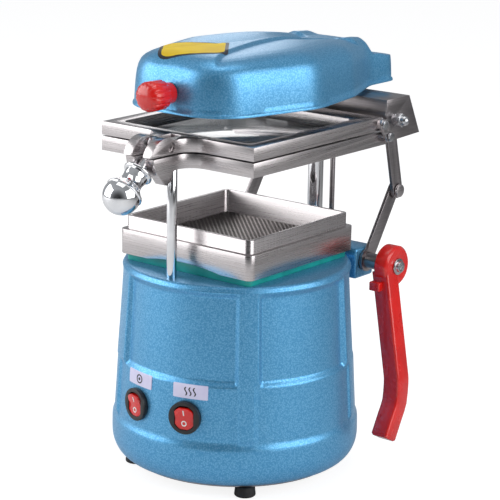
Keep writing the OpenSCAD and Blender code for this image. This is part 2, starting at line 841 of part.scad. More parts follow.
module handle() {
    hub_end = hub_x + hub_w;
    color("#e0201e") difference() {
        union() {
            bar_x(hub_x, hub_end - hub_edge, hub_r, shaft_y, shaft_z);
            translate([hub_end - hub_edge, shaft_y, shaft_z]) rotate([0, 90, 0])
                cylinder(h = hub_edge, r1 = hub_r, r2 = hub_r - hub_edge);
            hull() {
                arm_slice(arm_top, 0);
                arm_slice(arm_knee, 0);
            }
            hull() {
                arm_slice(arm_knee, 0);
                arm_slice(arm_bend, 14);
            }
            hull() {
                arm_slice(arm_bend, 14);
                arm_slice(arm_end, 28);
            }
            translate([hub_x - 1, lug_front - 8, shaft_z - 17]) cube([9, 8, 7]);
        }
        bar_x(hub_x - cut, hub_end - 1.5, shaft_r + fixed_fit, shaft_y, shaft_z);
        bar_x(arm_top[0] - arm_w / 2 - cut, hub_x, shaft_r + pass_gap, shaft_y, shaft_z);
        bar_x(hub_x, hub_end + cut, screw_r + fixed_fit, shaft_y, shaft_z);
        bar_x(hub_end, hub_end + 3, washer_r + 0.2, shaft_y, shaft_z);
    }
}

module handle_screw() {
    color("silver") translate([hub_w, 0, 0]) {
        bar_x(hub_x - 7, hub_x + 1, screw_r, shaft_y, shaft_z);
        bar_x(hub_x, hub_x + 1, washer_r, shaft_y, shaft_z);
        difference() {
            bar_x(hub_x + 0.9, hub_x + 3.4, 4.2, shaft_y, shaft_z);
            translate([hub_x + 2.2, shaft_y, shaft_z]) rotate([0, 90, 0])
                cylinder(h = 3, r = 2.2, $fn = 6);
        }
    }
}

// A flat bar between two pivots, drawn in Y and Z
module bar_profile(from, to, w) {
    dy = to[0] - from[0];
    dz = to[1] - from[1];
    translate(from) rotate(atan2(dz, dy)) translate([0, -w / 2]) square([norm([dy, dz]), w]);
    translate(from) circle(w / 2);
    translate(to) circle(w / 2);
}

module crank() {
    color("#8f8782") difference() {
        union() {
            along_x(crank_x, crank_x + bar_t) bar_profile([shaft_y, shaft_z], crank_b, bar_w);
            bar_x(crank_x, crank_x + bar_t, shaft_r + 2.5, shaft_y, shaft_z);
        }
        bar_x(crank_x - cut, crank_x + bar_t + cut, shaft_r + fixed_fit, shaft_y, shaft_z);
        bar_x(crank_x - cut, crank_x + bar_t + cut, crank_pin_r + fixed_fit, crank_b[0], crank_b[1]);
    }
}

module crank_right() { crank(); }
module crank_left() { mirror([1, 0, 0]) crank(); }

module crank_pins() {
    color("#9a938e") both_sides() {
        bar_x(crank_x - 0.5, link_x + bar_t + 1, crank_pin_r, crank_b[0], crank_b[1]);
        bar_x(link_x + bar_t + 0.3, link_x + bar_t + 0.3 + pin_head_t, pin_head_r,
            crank_b[0], crank_b[1]);
    }
}

module link() {
    color("#8f8782") difference() {
        along_x(link_x, link_x + bar_t) bar_profile(crank_b, [bolt_y, bolt_z], bar_w);
        bar_x(link_x - cut, link_x + bar_t + cut, crank_pin_r + run_fit, crank_b[0], crank_b[1]);
        bar_x(link_x - cut, link_x + bar_t + cut, bolt_r + run_fit, bolt_y, bolt_z);
    }
}

module link_right() { link(); }
module link_left() { mirror([1, 0, 0]) link(); }

// Lift bracket and slide

module lift_bracket() {
    color("#8a8380") difference() {
        union() {
            translate([-frame_half - bracket_t, bracket_front, bracket_top - bracket_t])
                cube([2 * (frame_half + bracket_t), bracket_rear - bracket_front, bracket_t]);
            translate([-frame_half - bracket_t, bracket_front, bracket_top - lip_h - bracket_t])
                cube([2 * (frame_half + bracket_t), bracket_t, lip_h + bracket_t]);
            both_sides() along_x(frame_half, frame_half + bracket_t) polygon([
                [bracket_front, bracket_top],
                [bracket_rear, bracket_top],
                [cheek_rear, cheek_low + 1.5],
                [bracket_front, cheek_low]
            ]);
        }
        translate([0, post_y, bracket_top - bracket_t - cut])
            cylinder(h = bracket_t + 2 * cut, r = post_r + 1);
        translate([rear_rod_x, post_y, bracket_top - bracket_t - cut])
            cylinder(h = bracket_t + 2 * cut, r = rear_rod_r + pass_gap);
        for (x = [-block_screw_x, block_screw_x])
            translate([x, block_screw_y, bracket_top - bracket_t - cut])
            cylinder(h = bracket_t + 2 * cut, r = 2 + fixed_fit);
        both_sides() {
            bar_x(frame_half - cut, frame_half + bracket_t + cut, bolt_r + fixed_fit, bolt_y, bolt_z);
            bar_x(frame_half - cut, frame_half + bracket_t + cut, pivot_r + fixed_fit, pivot_y, pivot_z);
        }
    }
}

module slide_block() {
    color("#7d7875") difference() {
        union() {
            translate([-block_half, block_front, frame_z + 0.4])
                cube([2 * block_half, block_rear - block_front, bracket_top - bracket_t - frame_z - 0.4]);
            translate([-wing_half, block_front, frame_z + 0.4])
                cube([2 * wing_half, wing_d, lower_t - 0.8]);
        }
        translate([0, post_y, frame_z - cut]) cylinder(h = 50, r = bush_r + fixed_fit);
        translate([rear_rod_x, post_y, frame_z - cut]) cylinder(h = 50, r = rear_rod_r + pass_gap);
        for (x = [-block_screw_x, block_screw_x])
            translate([x, block_screw_y, bracket_top - bracket_t - 12]) cylinder(h = 20, r = 2 + fixed_fit);
        for (x = [-wing_screw_x, wing_screw_x]) translate([x, block_front - cut, frame_z + lower_t / 2])
            rotate([-90, 0, 0]) cylinder(h = wing_d + 2 * cut, r = 2 + fixed_fit);
    }
}

module post_bush() {
    color("#b58a3c") translate([0, post_y, frame_z + 0.4]) difference() {
        cylinder(h = bracket_top - bracket_t - frame_z - 0.4, r = bush_r);
        translate([0, 0, -cut]) cylinder(h = 50, r = post_r + run_fit);
    }
}

module bracket_screws() {
    color("silver") {
        for (x = [-block_screw_x, block_screw_x]) translate([x, block_screw_y, bracket_top])
            screw_down(2, 12, 3.5, 0.8);
        for (x = [-wing_screw_x, wing_screw_x])
            translate([x, block_front + wing_d, frame_z + lower_t / 2]) rotate([-90, 0, 0])
            screw_down(2, wing_d + 10, 3.8, 2.4);
    }
}

module bracket_bolts() {
    nut_x = frame_half + bracket_t + 2;
    color("#c9c6c4") both_sides() {
        bar_x(link_x + bar_t + pass_gap, nut_x + 6, bolt_r, bolt_y, bolt_z);
        bar_x(link_x + bar_t + pass_gap, frame_half, bolt_r + 1.5, bolt_y, bolt_z);
        bar_x(frame_half + bracket_t, nut_x, bolt_r + 1.8, bolt_y, bolt_z);
        translate([nut_x, bolt_y, bolt_z]) rotate([0, 90, 0]) cylinder(h = 5, r = bolt_r + 2.3, $fn = 6);
        bar_x(nut_x + 4, nut_x + 6.5, bolt_r + 0.8, bolt_y, bolt_z);
        translate([nut_x + 6.5, bolt_y, bolt_z]) sphere(bolt_r + 0.8, $fn = 48);
    }
}

// Sheet frame

// Outline of a frame plate with its window and the flare at the front
module frame_outline(rear) {
    difference() {
        union() {
            translate([-frame_half, -frame_front]) square([2 * frame_half, frame_front + rear]);
            translate([-flare_x, -flare_y]) square([2 * flare_x, flare_y - frame_front + cut]);
        }
        round_rect(-window_half, window_half, -window_front, window_rear, window_r);
        for (x = [-flare_x, flare_x]) translate([x, -flare_y]) circle(flare_r);
    }
}

// A point beside the clamp stud: s along it from the pin, p up and forwards across it
function beside_stud(s, p) = [
    -pin_y - s * cos(stud_slope) - p * sin(stud_slope),
    pin_z - s * sin(stud_slope) + p * cos(stud_slope)
];

module lower_frame() {
    color("#a39a93") difference() {
        union() {
            translate([0, 0, frame_z]) linear_extrude(lower_t) frame_outline(lower_rear);
            along_x(-ear_half, ear_half) polygon([
                [-flare_y + cut, lower_top],
                [-flare_y + cut, frame_z],
                [-pin_y + 1, frame_z - 1],
                [-pin_y, frame_z - 6.5],
                [-pin_y - 4.5, frame_z - 10],
                beside_stud(lug_s, -15),
                beside_stud(lug_s, 0),
                beside_stud(lug_s - 3, 6.8),
                [-pin_y - 19.5, lower_top]
            ]);
        }
        translate([-slot_half, -pin_y - 40, frame_z - 20])
            cube([2 * slot_half, 40 + pin_y - front_rod_y - 7, 40]);
        translate([0, -front_rod_y, frame_z - cut])
            cylinder(h = lower_t + 2 * cut, r = front_rod_r + run_fit);
        both_sides() bar_x(frame_half - 8, frame_half + cut, pivot_r + fixed_fit, pivot_y, pivot_z);
        for (x = [-wing_screw_x, wing_screw_x]) translate([x, lower_rear - 11, frame_z + lower_t / 2])
            rotate([-90, 0, 0]) cylinder(h = 12, r = 2 + fixed_fit);
    }
}

module forming_sheet() {
    color("#b9c4c8") translate([0, sheet_y, lower_top]) linear_extrude(sheet_t)
        square(sheet_size, center = true);
}

module hinge_pivots() {
    color("silver") both_sides() {
        bar_x(frame_half - 7, strap_x + strap_t + 0.8, pivot_r, pivot_y, pivot_z);
        bar_x(strap_x + strap_t + 0.3, strap_x + strap_t + 2, pivot_r + 1, pivot_y, pivot_z);
    }
}

module upper_frame() {
    color("#a39a93") difference() {
        union() {
            translate([0, 0, upper_z]) linear_extrude(upper_t) frame_outline(upper_rear);
            along_x(-ear_half, ear_half) difference() {
                union() {
                    translate([-ear_y, ear_z]) circle(ear_r);
                    translate([-ear_y, upper_z]) square([ear_y - flare_y + cut, upper_t]);
                }
                translate([-ear_y - 2 * ear_r, upper_z - 3 * ear_r]) square([4 * ear_r, 3 * ear_r]);
            }
        }
        translate([-slot_half, -pin_y - 40, upper_z - 10])
            cube([2 * slot_half, 40 + pin_y - slot_rear, 40]);
        bar_x(-ear_half - cut, ear_half + cut, clamp_pin_r + fixed_fit, -pin_y, pin_z);
        both_sides() {
            bar_x(ear_half - 2.5, ear_half + cut, clamp_pin_r + 0.7, -pin_y, pin_z);
            bar_x(frame_half - 9, frame_half + cut, strap_screw_r + fixed_fit,
                strap_front_y, strap_front_z);
        }
    }
}

module hinge_straps() {
    color("#a8a19c") both_sides() difference() {
        union() {
            along_x(strap_x, strap_x + strap_t)
                bar_profile([strap_front_y, strap_front_z], [pivot_y, pivot_z], 2 * strap_end_r);
            bar_x(frame_half, strap_x + cut, strap_end_r - 0.4, strap_front_y, strap_front_z);
        }
        bar_x(strap_x - cut, strap_x + strap_t + cut, pivot_r + run_fit, pivot_y, pivot_z);
        bar_x(frame_half - cut, strap_x + strap_t + cut, strap_screw_r + fixed_fit,
            strap_front_y, strap_front_z);
    }
}

module strap_screws() {
    color("silver") both_sides() {
        bar_x(frame_half - 8, strap_x + strap_t + 1, strap_screw_r, strap_front_y, strap_front_z);
        bar_x(strap_x + strap_t, strap_x + strap_t + 1.7, strap_screw_r + 1.3,
            strap_front_y, strap_front_z);
    }
}

// Clamp

// Puts +Z along the clamp stud, with the pin at the origin
module along_stud() {
    translate([0, -pin_y, pin_z]) rotate([90 + stud_slope, 0, 0]) children();
}

module clamp_pin() {
    color("#6f6c6a")
        bar_x(-ear_half + 2.5, ear_half - 2.5, clamp_pin_r, -pin_y, pin_z);
}

module clamp_stud() {
    color("silver") difference() {
        union() {
            bar_x(-slot_half + 0.3, slot_half - 0.3, eye_r, -pin_y, pin_z);
            along_stud() cylinder(h = stud_end, r = stud_r);
        }
        bar_x(-slot_half, slot_half, clamp_pin_r + run_fit, -pin_y, pin_z);
    }
}

module clamp_knob() {
    waist_s = collar_s + 9.5;
    rim_s = collar_s + 20;
    dome_s = collar_s + 24;
    color("#e6e6e8") along_stud() difference() {
        rotate_extrude() polygon(concat(
            [
                [0, collar_s],
                [collar_r - 3.5, collar_s],
                [collar_r, collar_s + 2],
                [collar_r, collar_s + 4],
                [collar_r - 2.4, waist_s - 3],
                [collar_r - 3, waist_s],
                [collar_r - 2.4, waist_s + 3.5],
                [knob_head_r + 0.5, rim_s],
                [knob_head_r + 0.5, rim_s + 2],
                [knob_head_r, dome_s - 1]
            ],
            [for (a = [0:15:90]) [knob_head_r * cos(a), dome_s + knob_head_r * sin(a)]]
        ));
        translate([0, 0, collar_s - cut])
            cylinder(h = stud_end - collar_s + cut + 1, r = stud_r + stud_thread_gap);
    }
}

// Heater hood

// Outline of the hood's egg-shaped body, drawn in by an inset
module hood_outline(inset) {
    hull() for (s = [-1, 1]) {
        translate([s * front_cx, -front_cy]) circle(front_r - inset, $fn = 48);
        translate([s * mid_cx, mid_cy]) circle(mid_r - inset, $fn = 48);
        translate([s * rear_cx, rear_cy - inset]) circle(rear_r, $fn = 24);
    }
}

// The hood's body and tail as solids, drawn in by a wall
module hood_body(inset, z0, top) {
    steep = hood_h - 14;
    hull() {
        translate([0, 0, z0]) linear_extrude(0.1) hood_outline(inset);
        translate([0, 0, hood_z + steep]) linear_extrude(0.1) hood_outline(inset + 1.5);
        translate([0, 0, hood_z + steep + 6]) linear_extrude(0.1) hood_outline(inset + 4.5);
        translate([0, 0, top - 4]) linear_extrude(0.1) hood_outline(inset + 10);
        translate([0, 0, top - 0.1]) linear_extrude(0.1) hood_outline(inset + 24);
    }
}

module hood_tail(inset, z0, top) {
    hull() {
        translate([0, 0, z0]) linear_extrude(top - z0 - 4) translate([-tail_half + inset, 60])
            square([2 * (tail_half - inset), tail_rear - inset - 60]);
        translate([0, 0, top - 0.1]) linear_extrude(0.1) translate([-tail_half + inset + 4, 60])
            square([2 * (tail_half - inset - 4), tail_rear - inset - 64]);
    }
}

module hood_shell() {
    color("#4a90bd") difference() {
        union() {
            hood_body(0, hood_z, hood_top);
            hood_tail(0, hood_z, tail_top);
            translate([0, 0, hood_z]) linear_extrude(bead_h) hood_outline(-bead_w);
        }
        hood_body(hood_wall, hood_z - cut, hood_roof);
        hood_tail(hood_wall, hood_z - cut, socket_top);
        translate([0, -hood_front - 10, knob_axis_z]) rotate([-90, 0, 0]) cylinder(h = 30, r = 4.3);
    }
}

module hood_socket() {
    color("#9b9793") translate([0, post_y, 0]) difference() {
        union() {
            translate([0, 0, socket_z]) cylinder(h = socket_top - socket_z, r = post_r + 5);
            translate([0, 0, socket_top - 3]) cylinder(h = 3, r = post_r + 12);
        }
        translate([0, 0, socket_z - cut]) cylinder(h = post_top - socket_z + cut + 0.4, r = post_r + run_fit);
    }
}

module reflector() {
    color("#c8cace") difference() {
        translate([0, 0, reflector_low]) cylinder(h = reflector_top - reflector_low, r = reflector_r);
        translate([0, 0, reflector_low - cut])
            cylinder(h = reflector_top - reflector_low - reflector_t + cut, r = reflector_r - reflector_t);
    }
}

module reflector_standoffs() {
    color("silver") for (a = [30, 150, 270]) rotate([0, 0, a])
        translate([standoff_pitch_r, 0, reflector_top])
        cylinder(h = hood_roof - reflector_top, r = standoff_r);
}

module heating_tube(r) {
    for (ring = [14, 27, 40]) translate([0, 0, element_z])
        rotate_extrude() translate([ring, 0]) circle(r);
}

module heating_element() {
    color("#77706a") {
        heating_tube(tube_r);
        translate([0, 0, element_z]) rotate([0, 90, 0]) cylinder(h = 40, r = tube_r * 0.8);
    }
}

module insulators() {
    color("#e9e4d8") difference() {
        for (a = [60, 180, 300]) for (ring = [14, 27, 40]) rotate([0, 0, a])
            translate([ring, 0, element_z]) cylinder(h = reflector_top - reflector_t - element_z, r = 4);
        heating_tube(tube_r + fixed_fit);
    }
}

module hood_knob() {
    color("#e0201e") translate([0, -hood_front + 0.1, knob_axis_z]) rotate([90, 0, 0]) difference() {
        union() {
            cylinder(h = knob_neck_l + cut, r = hood_knob_r - 3);
            difference() {
                rotate_extrude() polygon([
                    [0, knob_neck_l],
                    [hood_knob_r - 0.8, knob_neck_l],
                    [hood_knob_r, knob_neck_l + 0.8],
                    [hood_knob_r, knob_neck_l + hood_knob_l - 8],
                    [hood_knob_r - 2, knob_neck_l + hood_knob_l - 6],
                    [hood_knob_r - 6, knob_neck_l + hood_knob_l - 5],
                    [0, knob_neck_l + hood_knob_l - 4.6]
                ]);
                for (i = [0:flutes - 1]) rotate([0, 0, i * 360 / flutes])
                    translate([hood_knob_r + 1.3, 0, knob_neck_l - cut])
                    cylinder(h = hood_knob_l, r = 2.2);
            }
        }
        translate([0, 0, -cut]) cylinder(h = 16, r = 3 + fixed_fit);
    }
}

module hood_knob_stud() {
    color("silver") translate([0, -hood_front + hood_wall + 4, knob_axis_z]) rotate([90, 0, 0]) {
        cylinder(h = hood_wall + 17, r = 3);
        difference() {
            cylinder(h = 3 - 0.4, r = 6, $fn = 6);
            translate([0, 0, -cut]) cylinder(h = 2, r = 1.5);
        }
    }
}

housing();
base_plate();
feet();
foot_screws();
motor_bracket();
motor_bracket_screws();
motor_stator();
fan_can();
motor_gasket();
fan_rotor();
heat_switch_body();
motor_switch_body();
heat_rocker();
motor_rocker();
power_inlet();
fuse_holder();
table_gasket();
forming_table();
table_screws();
perforated_plate();
front_rod();
front_rod_nut();
rear_post();
post_collar();
rear_rod();
shaft_bushes();
lift_shaft();
handle();
handle_screw();
crank_right();
crank_left();
crank_pins();
link_right();
link_left();
lift_bracket();
slide_block();
post_bush();
bracket_screws();
bracket_bolts();
lower_frame();
forming_sheet();
hinge_pivots();
upper_frame();
hinge_straps();
strap_screws();
clamp_pin();
clamp_stud();
clamp_knob();
hood_shell();
hood_socket();
reflector();
reflector_standoffs();
heating_element();
insulators();
hood_knob();
hood_knob_stud();
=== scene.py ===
# %% [markdown]
# A dental vacuum former: a motor housing, a perforated table, a sheet frame on a lever lift and a
# heater hood. The engineering model comes first, as a fixed frame. Every piece made here is placed
# by it, in metres, with +Z up and the front towards -Y.

# %% Load the frame
import json
import math
from contextlib import contextmanager

import bpy
from mathutils import Matrix, Vector


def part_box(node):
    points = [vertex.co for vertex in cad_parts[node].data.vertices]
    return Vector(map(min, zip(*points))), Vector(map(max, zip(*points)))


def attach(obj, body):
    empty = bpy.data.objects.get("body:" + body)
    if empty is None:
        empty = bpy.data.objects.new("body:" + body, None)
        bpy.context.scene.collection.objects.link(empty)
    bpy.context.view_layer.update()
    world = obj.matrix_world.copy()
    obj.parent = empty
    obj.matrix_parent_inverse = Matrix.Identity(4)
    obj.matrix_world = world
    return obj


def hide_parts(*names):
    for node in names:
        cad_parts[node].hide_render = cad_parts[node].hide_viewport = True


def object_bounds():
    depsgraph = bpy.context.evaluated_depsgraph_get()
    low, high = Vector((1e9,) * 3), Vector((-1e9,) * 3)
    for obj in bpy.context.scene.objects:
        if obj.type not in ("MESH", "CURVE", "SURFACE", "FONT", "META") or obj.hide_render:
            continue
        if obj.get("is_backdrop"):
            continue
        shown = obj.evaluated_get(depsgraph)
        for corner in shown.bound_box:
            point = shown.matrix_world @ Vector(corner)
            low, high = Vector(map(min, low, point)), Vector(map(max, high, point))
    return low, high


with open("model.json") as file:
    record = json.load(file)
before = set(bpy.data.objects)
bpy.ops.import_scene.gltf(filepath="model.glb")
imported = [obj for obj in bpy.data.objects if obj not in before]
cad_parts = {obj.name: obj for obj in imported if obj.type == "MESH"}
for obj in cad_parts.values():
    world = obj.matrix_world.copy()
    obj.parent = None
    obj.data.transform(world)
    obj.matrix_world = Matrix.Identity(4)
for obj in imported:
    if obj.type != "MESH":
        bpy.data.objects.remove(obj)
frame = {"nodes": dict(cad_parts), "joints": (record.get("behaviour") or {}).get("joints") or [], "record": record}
cad_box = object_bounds()
MM = 0.001
body_of = {n: b for b, ns in frame["record"]["behaviour"]["bodies"].items() for n in ns}

# %% [markdown]
# The camera comes next. Its angle, lens and small tilt were found by fitting known corners of the frame
# and the table. The shift moves the picture's centre without turning the camera.

# %% Camera
AZIMUTH, ELEVATION, ROLL = math.radians(38.79), math.radians(14.58), math.radians(0.82)
TARGET, DISTANCE = Vector((0, 0, 170 * MM)), 1501.25 * MM
FOCAL_PX, CENTRE_PX, PHOTO_PX = 2010.18, (237.29, 244.37), 500
SENSOR_MM = 36


def add_camera():
    back = Vector((
        math.sin(AZIMUTH) * math.cos(ELEVATION),
        -math.cos(AZIMUTH) * math.cos(ELEVATION),
        math.sin(ELEVATION),
    ))
    right = Vector((math.cos(AZIMUTH), math.sin(AZIMUTH), 0))
    up = back.cross(right)
    tilted_right = right * math.cos(ROLL) + up * math.sin(ROLL)
    tilted_up = up * math.cos(ROLL) - right * math.sin(ROLL)
    bpy.ops.object.camera_add()
    camera = bpy.context.object
    camera.name = "photo_camera"
    turn = Matrix((tilted_right, tilted_up, back)).transposed().to_4x4()
    camera.matrix_world = Matrix.Translation(TARGET + back * DISTANCE) @ turn
    camera.data.sensor_width = SENSOR_MM
    camera.data.lens = FOCAL_PX / PHOTO_PX * SENSOR_MM
    camera.data.shift_x = (PHOTO_PX / 2 - CENTRE_PX[0]) / PHOTO_PX
    camera.data.shift_y = (CENTRE_PX[1] - PHOTO_PX / 2) / PHOTO_PX
    bpy.context.scene.camera = camera
    print("camera lens mm", round(camera.data.lens, 1))


add_camera()

# %% [markdown]
# A few small jobs come back at every piece: turning a hex colour into a linear one, adding a shader
# node, selecting one object alone, and applying a place or a modifier. Each is a short function.
# A mesh drawn from points is made by another, because several pieces have no primitive near them.

# %% Small helpers
def srgb(text):
    """Turns an sRGB hex colour into the linear colour that shaders work in."""
    parts = [int(text[i:i + 2], 16) / 255 for i in (1, 3, 5)]
    linear = [c / 12.92 if c <= 0.04045 else ((c + 0.055) / 1.055) ** 2.4 for c in parts]
    return (*linear, 1)


def add_node(tree, kind, settings=None, links=None):
    """Adds a node, sets its fields and sockets, and links its inputs."""
    made = tree.nodes.new(kind)
    for name, value in (settings or {}).items():
        if isinstance(name, str) and name in made.inputs:
            made.inputs[name].default_value = value
        else:
            setattr(made, name, value)
    for name, source in (links or {}).items():
        tree.links.new(source, made.inputs[name])
    return made


def select_only(obj):
    bpy.ops.object.select_all(action="DESELECT")
    obj.select_set(True)
    bpy.context.view_layer.objects.active = obj


def to_mesh_place(obj):
    """Moves an object's place into its mesh, as a frame node has it."""
    select_only(obj)
    bpy.ops.object.transform_apply(location=True, rotation=True, scale=True)


def apply_modifier(obj, kind, **settings):
    select_only(obj)
    modifier = obj.modifiers.new(kind.lower(), kind)
    for name, value in settings.items():
        setattr(modifier, name, value)
    bpy.ops.object.modifier_apply(modifier=modifier.name)


def mesh_object(name, verts, faces, edges=()):
    """An object from points in metres and their faces or edges."""
    mesh = bpy.data.meshes.new(name)
    mesh.from_pydata(verts, edges, faces)
    made = bpy.data.objects.new(name, mesh)
    bpy.context.scene.collection.objects.link(made)
    return made


@contextmanager
def editing_all(obj):
    """Edit mode on one object, with all of its mesh selected."""
    select_only(obj)
    bpy.ops.object.mode_set(mode="EDIT")
    bpy.ops.mesh.select_all(action="SELECT")
    yield
    bpy.ops.object.mode_set(mode="OBJECT")


print("helpers ready, one millimetre is", MM, "m")

# %% [markdown]
# A studio cut-out photograph has a white sweep and large soft boxes. One from the left and one from
# the right light the enamel and leave the front between them darker. A box above lights the tops,
# and a narrow strip behind gives the clear sheet its streak.

# %% Lamps
LAMP_AIM = Vector((0, 0, 0.2))
LAMPS = [
    ("left_box", (-1.2, -0.95, 0.75), (1.6, 1.3), 19),
    ("right_box", (1.5, 0.2, 0.75), (1.6, 1.3), 19),
    ("top_box", (0.0, 0.1, 1.75), (1.2, 1.2), 6),
    ("rear_strip", (-0.95, 1.12, 0.72), (0.2, 0.7), 0.7),
]


def add_lamps():
    for name, place, (width, height), power in LAMPS:
        bpy.ops.object.light_add(type="AREA", location=place)
        lamp = bpy.context.object
        lamp.name = name
        lamp.data.shape = "RECTANGLE"
        lamp.data.size = width
        lamp.data.size_y = height
        lamp.data.energy = power
        aim = LAMP_AIM - Vector(place)
        lamp.rotation_euler = aim.to_track_quat("-Z", "Y").to_euler()
    print("lamps", len(LAMPS), "watts", sum(power for *_, power in LAMPS))


add_lamps()

# %% [markdown]
# Bright metal shows what is round it, so the air and the paper are darker towards the right rear
# and the air also towards the front, as a studio is where no lamp stands. The white behind the
# object is only for the camera and for what shows through the clear sheet, and adds no light.

# %% World and floor
AIR_LOW, AIR_HIGH, AIR_SPAN = 0.28, 0.46, (-0.6, 0.8)
FRONT_DIM, FRONT_SPAN = 0.4, (0.6, 0.97)
PAPER_LOW, PAPER_HIGH, PAPER_SPAN = 0.26, 0.84, (-0.1, 0.8)
PAPER_GLOW, PAPER_SIZE, PAPER_Z = 0.86, 8, -0.0002
SHADED_WAY, FRONT_WAY = Vector((0.606, 0.754, 0)), Vector((0.3, -0.954, 0))


def seen_directly(tree):
    """1 where the camera or clear plastic looks, and 0 for the light on the object."""
    path = add_node(tree, "ShaderNodeLightPath")
    seen = add_node(tree, "ShaderNodeMath", {"operation": "MAXIMUM"})
    tree.links.new(path.outputs["Is Camera Ray"], seen.inputs[0])
    tree.links.new(path.outputs["Is Transmission Ray"], seen.inputs[1])
    return seen


def along_way(tree, place, way, first, last, span):
    """A value that goes from the first level to the last along a direction."""
    along = add_node(tree, "ShaderNodeVectorMath", {"operation": "DOT_PRODUCT"})
    tree.links.new(place, along.inputs[0])
    along.inputs[1].default_value = way
    return add_node(
        tree, "ShaderNodeMapRange",
        {"From Min": span[0], "From Max": span[1], "To Min": first, "To Max": last},
        {"Value": along.outputs["Value"]},
    )


def add_world():
    world = bpy.data.worlds.new("studio_air")
    bpy.context.scene.world = world
    world.use_nodes = True
    tree = world.node_tree
    tree.nodes.clear()
    seen = seen_directly(tree)
    place = add_node(tree, "ShaderNodeTexCoord")
    way = place.outputs["Generated"]
    shade = along_way(tree, way, SHADED_WAY, AIR_HIGH, AIR_LOW, AIR_SPAN)
    front = along_way(tree, way, FRONT_WAY, 0, FRONT_DIM, FRONT_SPAN)
    level = add_node(tree, "ShaderNodeMath", {"operation": "SUBTRACT"})
    tree.links.new(shade.outputs[0], level.inputs[0])
    tree.links.new(front.outputs[0], level.inputs[1])
    air = add_node(
        tree, "ShaderNodeBackground", {"Color": srgb("#f4f7fb")}, {"Strength": level.outputs[0]}
    )
    white = add_node(tree, "ShaderNodeBackground", {"Color": srgb("#ffffff"), "Strength": 1.0})
    mix = add_node(tree, "ShaderNodeMixShader")
    tree.links.new(seen.outputs[0], mix.inputs[0])
    tree.links.new(air.outputs[0], mix.inputs[1])
    tree.links.new(white.outputs[0], mix.inputs[2])
    add_node(tree, "ShaderNodeOutputWorld", links={"Surface": mix.outputs[0]})


def add_floor():
    bpy.ops.mesh.primitive_plane_add(size=PAPER_SIZE, location=(0, 0, PAPER_Z))
    floor = bpy.context.object
    floor.name = "studio_floor"
    to_mesh_place(floor)
    paper = bpy.data.materials.new("white_paper_sweep")
    paper.use_nodes = True
    tree = paper.node_tree
    tree.nodes.clear()
    seen = seen_directly(tree)
    place = add_node(tree, "ShaderNodeTexCoord")
    spot = place.outputs["Object"]
    level = along_way(tree, spot, SHADED_WAY, PAPER_HIGH, PAPER_LOW, PAPER_SPAN)
    bounce = add_node(tree, "ShaderNodeBsdfDiffuse", links={"Color": level.outputs[0]})
    matt = add_node(tree, "ShaderNodeBsdfDiffuse", {"Color": srgb("#989899")})
    glow = add_node(tree, "ShaderNodeEmission", {"Color": srgb("#ffffff"), "Strength": PAPER_GLOW})
    both = add_node(tree, "ShaderNodeAddShader")
    tree.links.new(matt.outputs[0], both.inputs[0])
    tree.links.new(glow.outputs[0], both.inputs[1])
    mix = add_node(tree, "ShaderNodeMixShader")
    tree.links.new(seen.outputs[0], mix.inputs[0])
    tree.links.new(bounce.outputs[0], mix.inputs[1])
    tree.links.new(both.outputs[0], mix.inputs[2])
    add_node(tree, "ShaderNodeOutputMaterial", links={"Surface": mix.outputs[0]})
    floor.data.materials.append(paper)
    floor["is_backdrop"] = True


add_world()
add_floor()
bpy.context.scene.view_settings.view_transform = "Standard"
print("air from", AIR_LOW, "to", AIR_HIGH, "and the floor glows at", PAPER_GLOW)

# %% [markdown]
# Each finish starts from what the real one is: a colour, a share of metal and a roughness. Patterns
# are drawn from procedural textures in object coordinates, so they stay with their piece, and a
# texture's scale is the number of its cells in a metre.

# %% Material start
def start_material(name, colour, metallic, roughness, **sockets):
    material = bpy.data.materials.new(name)
    material.use_nodes = True
    tree = material.node_tree
    shader = tree.nodes["Principled BSDF"]
    shader.inputs["Base Color"].default_value = srgb(colour)
    shader.inputs["Metallic"].default_value = metallic
    shader.inputs["Roughness"].default_value = roughness
    for socket, value in sockets.items():
        shader.inputs[socket.replace("_", " ")].default_value = value
    return material, tree, shader


def per_metre(millimetres):
    """The texture scale that gives one cell in this many millimetres."""
    return 1000 / millimetres


CLOUD_LOW, CLOUD_HIGH = 0.35, 0.65


def mottle(tree, shader, dark, light, cell_mm):
    """Varies the base colour between two tones in soft patches."""
    place = add_node(tree, "ShaderNodeTexCoord")
    patches = add_node(
        tree, "ShaderNodeTexNoise", {"Scale": per_metre(cell_mm), "Detail": 3.0},
        {"Vector": place.outputs["Object"]},
    )
    tones = add_node(tree, "ShaderNodeValToRGB", links={"Fac": patches.outputs["Fac"]})
    tones.color_ramp.elements[0].position = CLOUD_LOW
    tones.color_ramp.elements[0].color = srgb(dark)
    tones.color_ramp.elements[1].position = CLOUD_HIGH
    tones.color_ramp.elements[1].color = srgb(light)
    tree.links.new(tones.outputs["Color"], shader.inputs["Base Color"])
    return place, patches


def rough_from(tree, shader, source, low, high):
    """Lets a texture move the roughness between two values."""
    spread = add_node(
        tree, "ShaderNodeMapRange", {"To Min": low, "To Max": high}, {"Value": source}
    )
    tree.links.new(spread.outputs[0], shader.inputs["Roughness"])


def bump_from(tree, shader, source, height_mm, strength):
    """Lets a texture raise the surface by this height in millimetres."""
    bump = add_node(
        tree, "ShaderNodeBump", {"Distance": height_mm * MM, "Strength": strength},
        {"Height": source},
    )
    tree.links.new(bump.outputs["Normal"], shader.inputs["Normal"])


print("a texture scale for 1 mm cells is", per_metre(1))

# %% [markdown]
# Hammertone enamel is a sprayed paint that pulls into small cells as it dries. Its colour, gloss
# and height all follow one pattern of cells of about one millimetre, pushed out of shape a little
# by a noise, because a plain cell pattern looks too even.

# %% Hammertone enamel
HAMMER_CELL, WARP_CELL, WARP = 1.1, 3.5, 0.0016


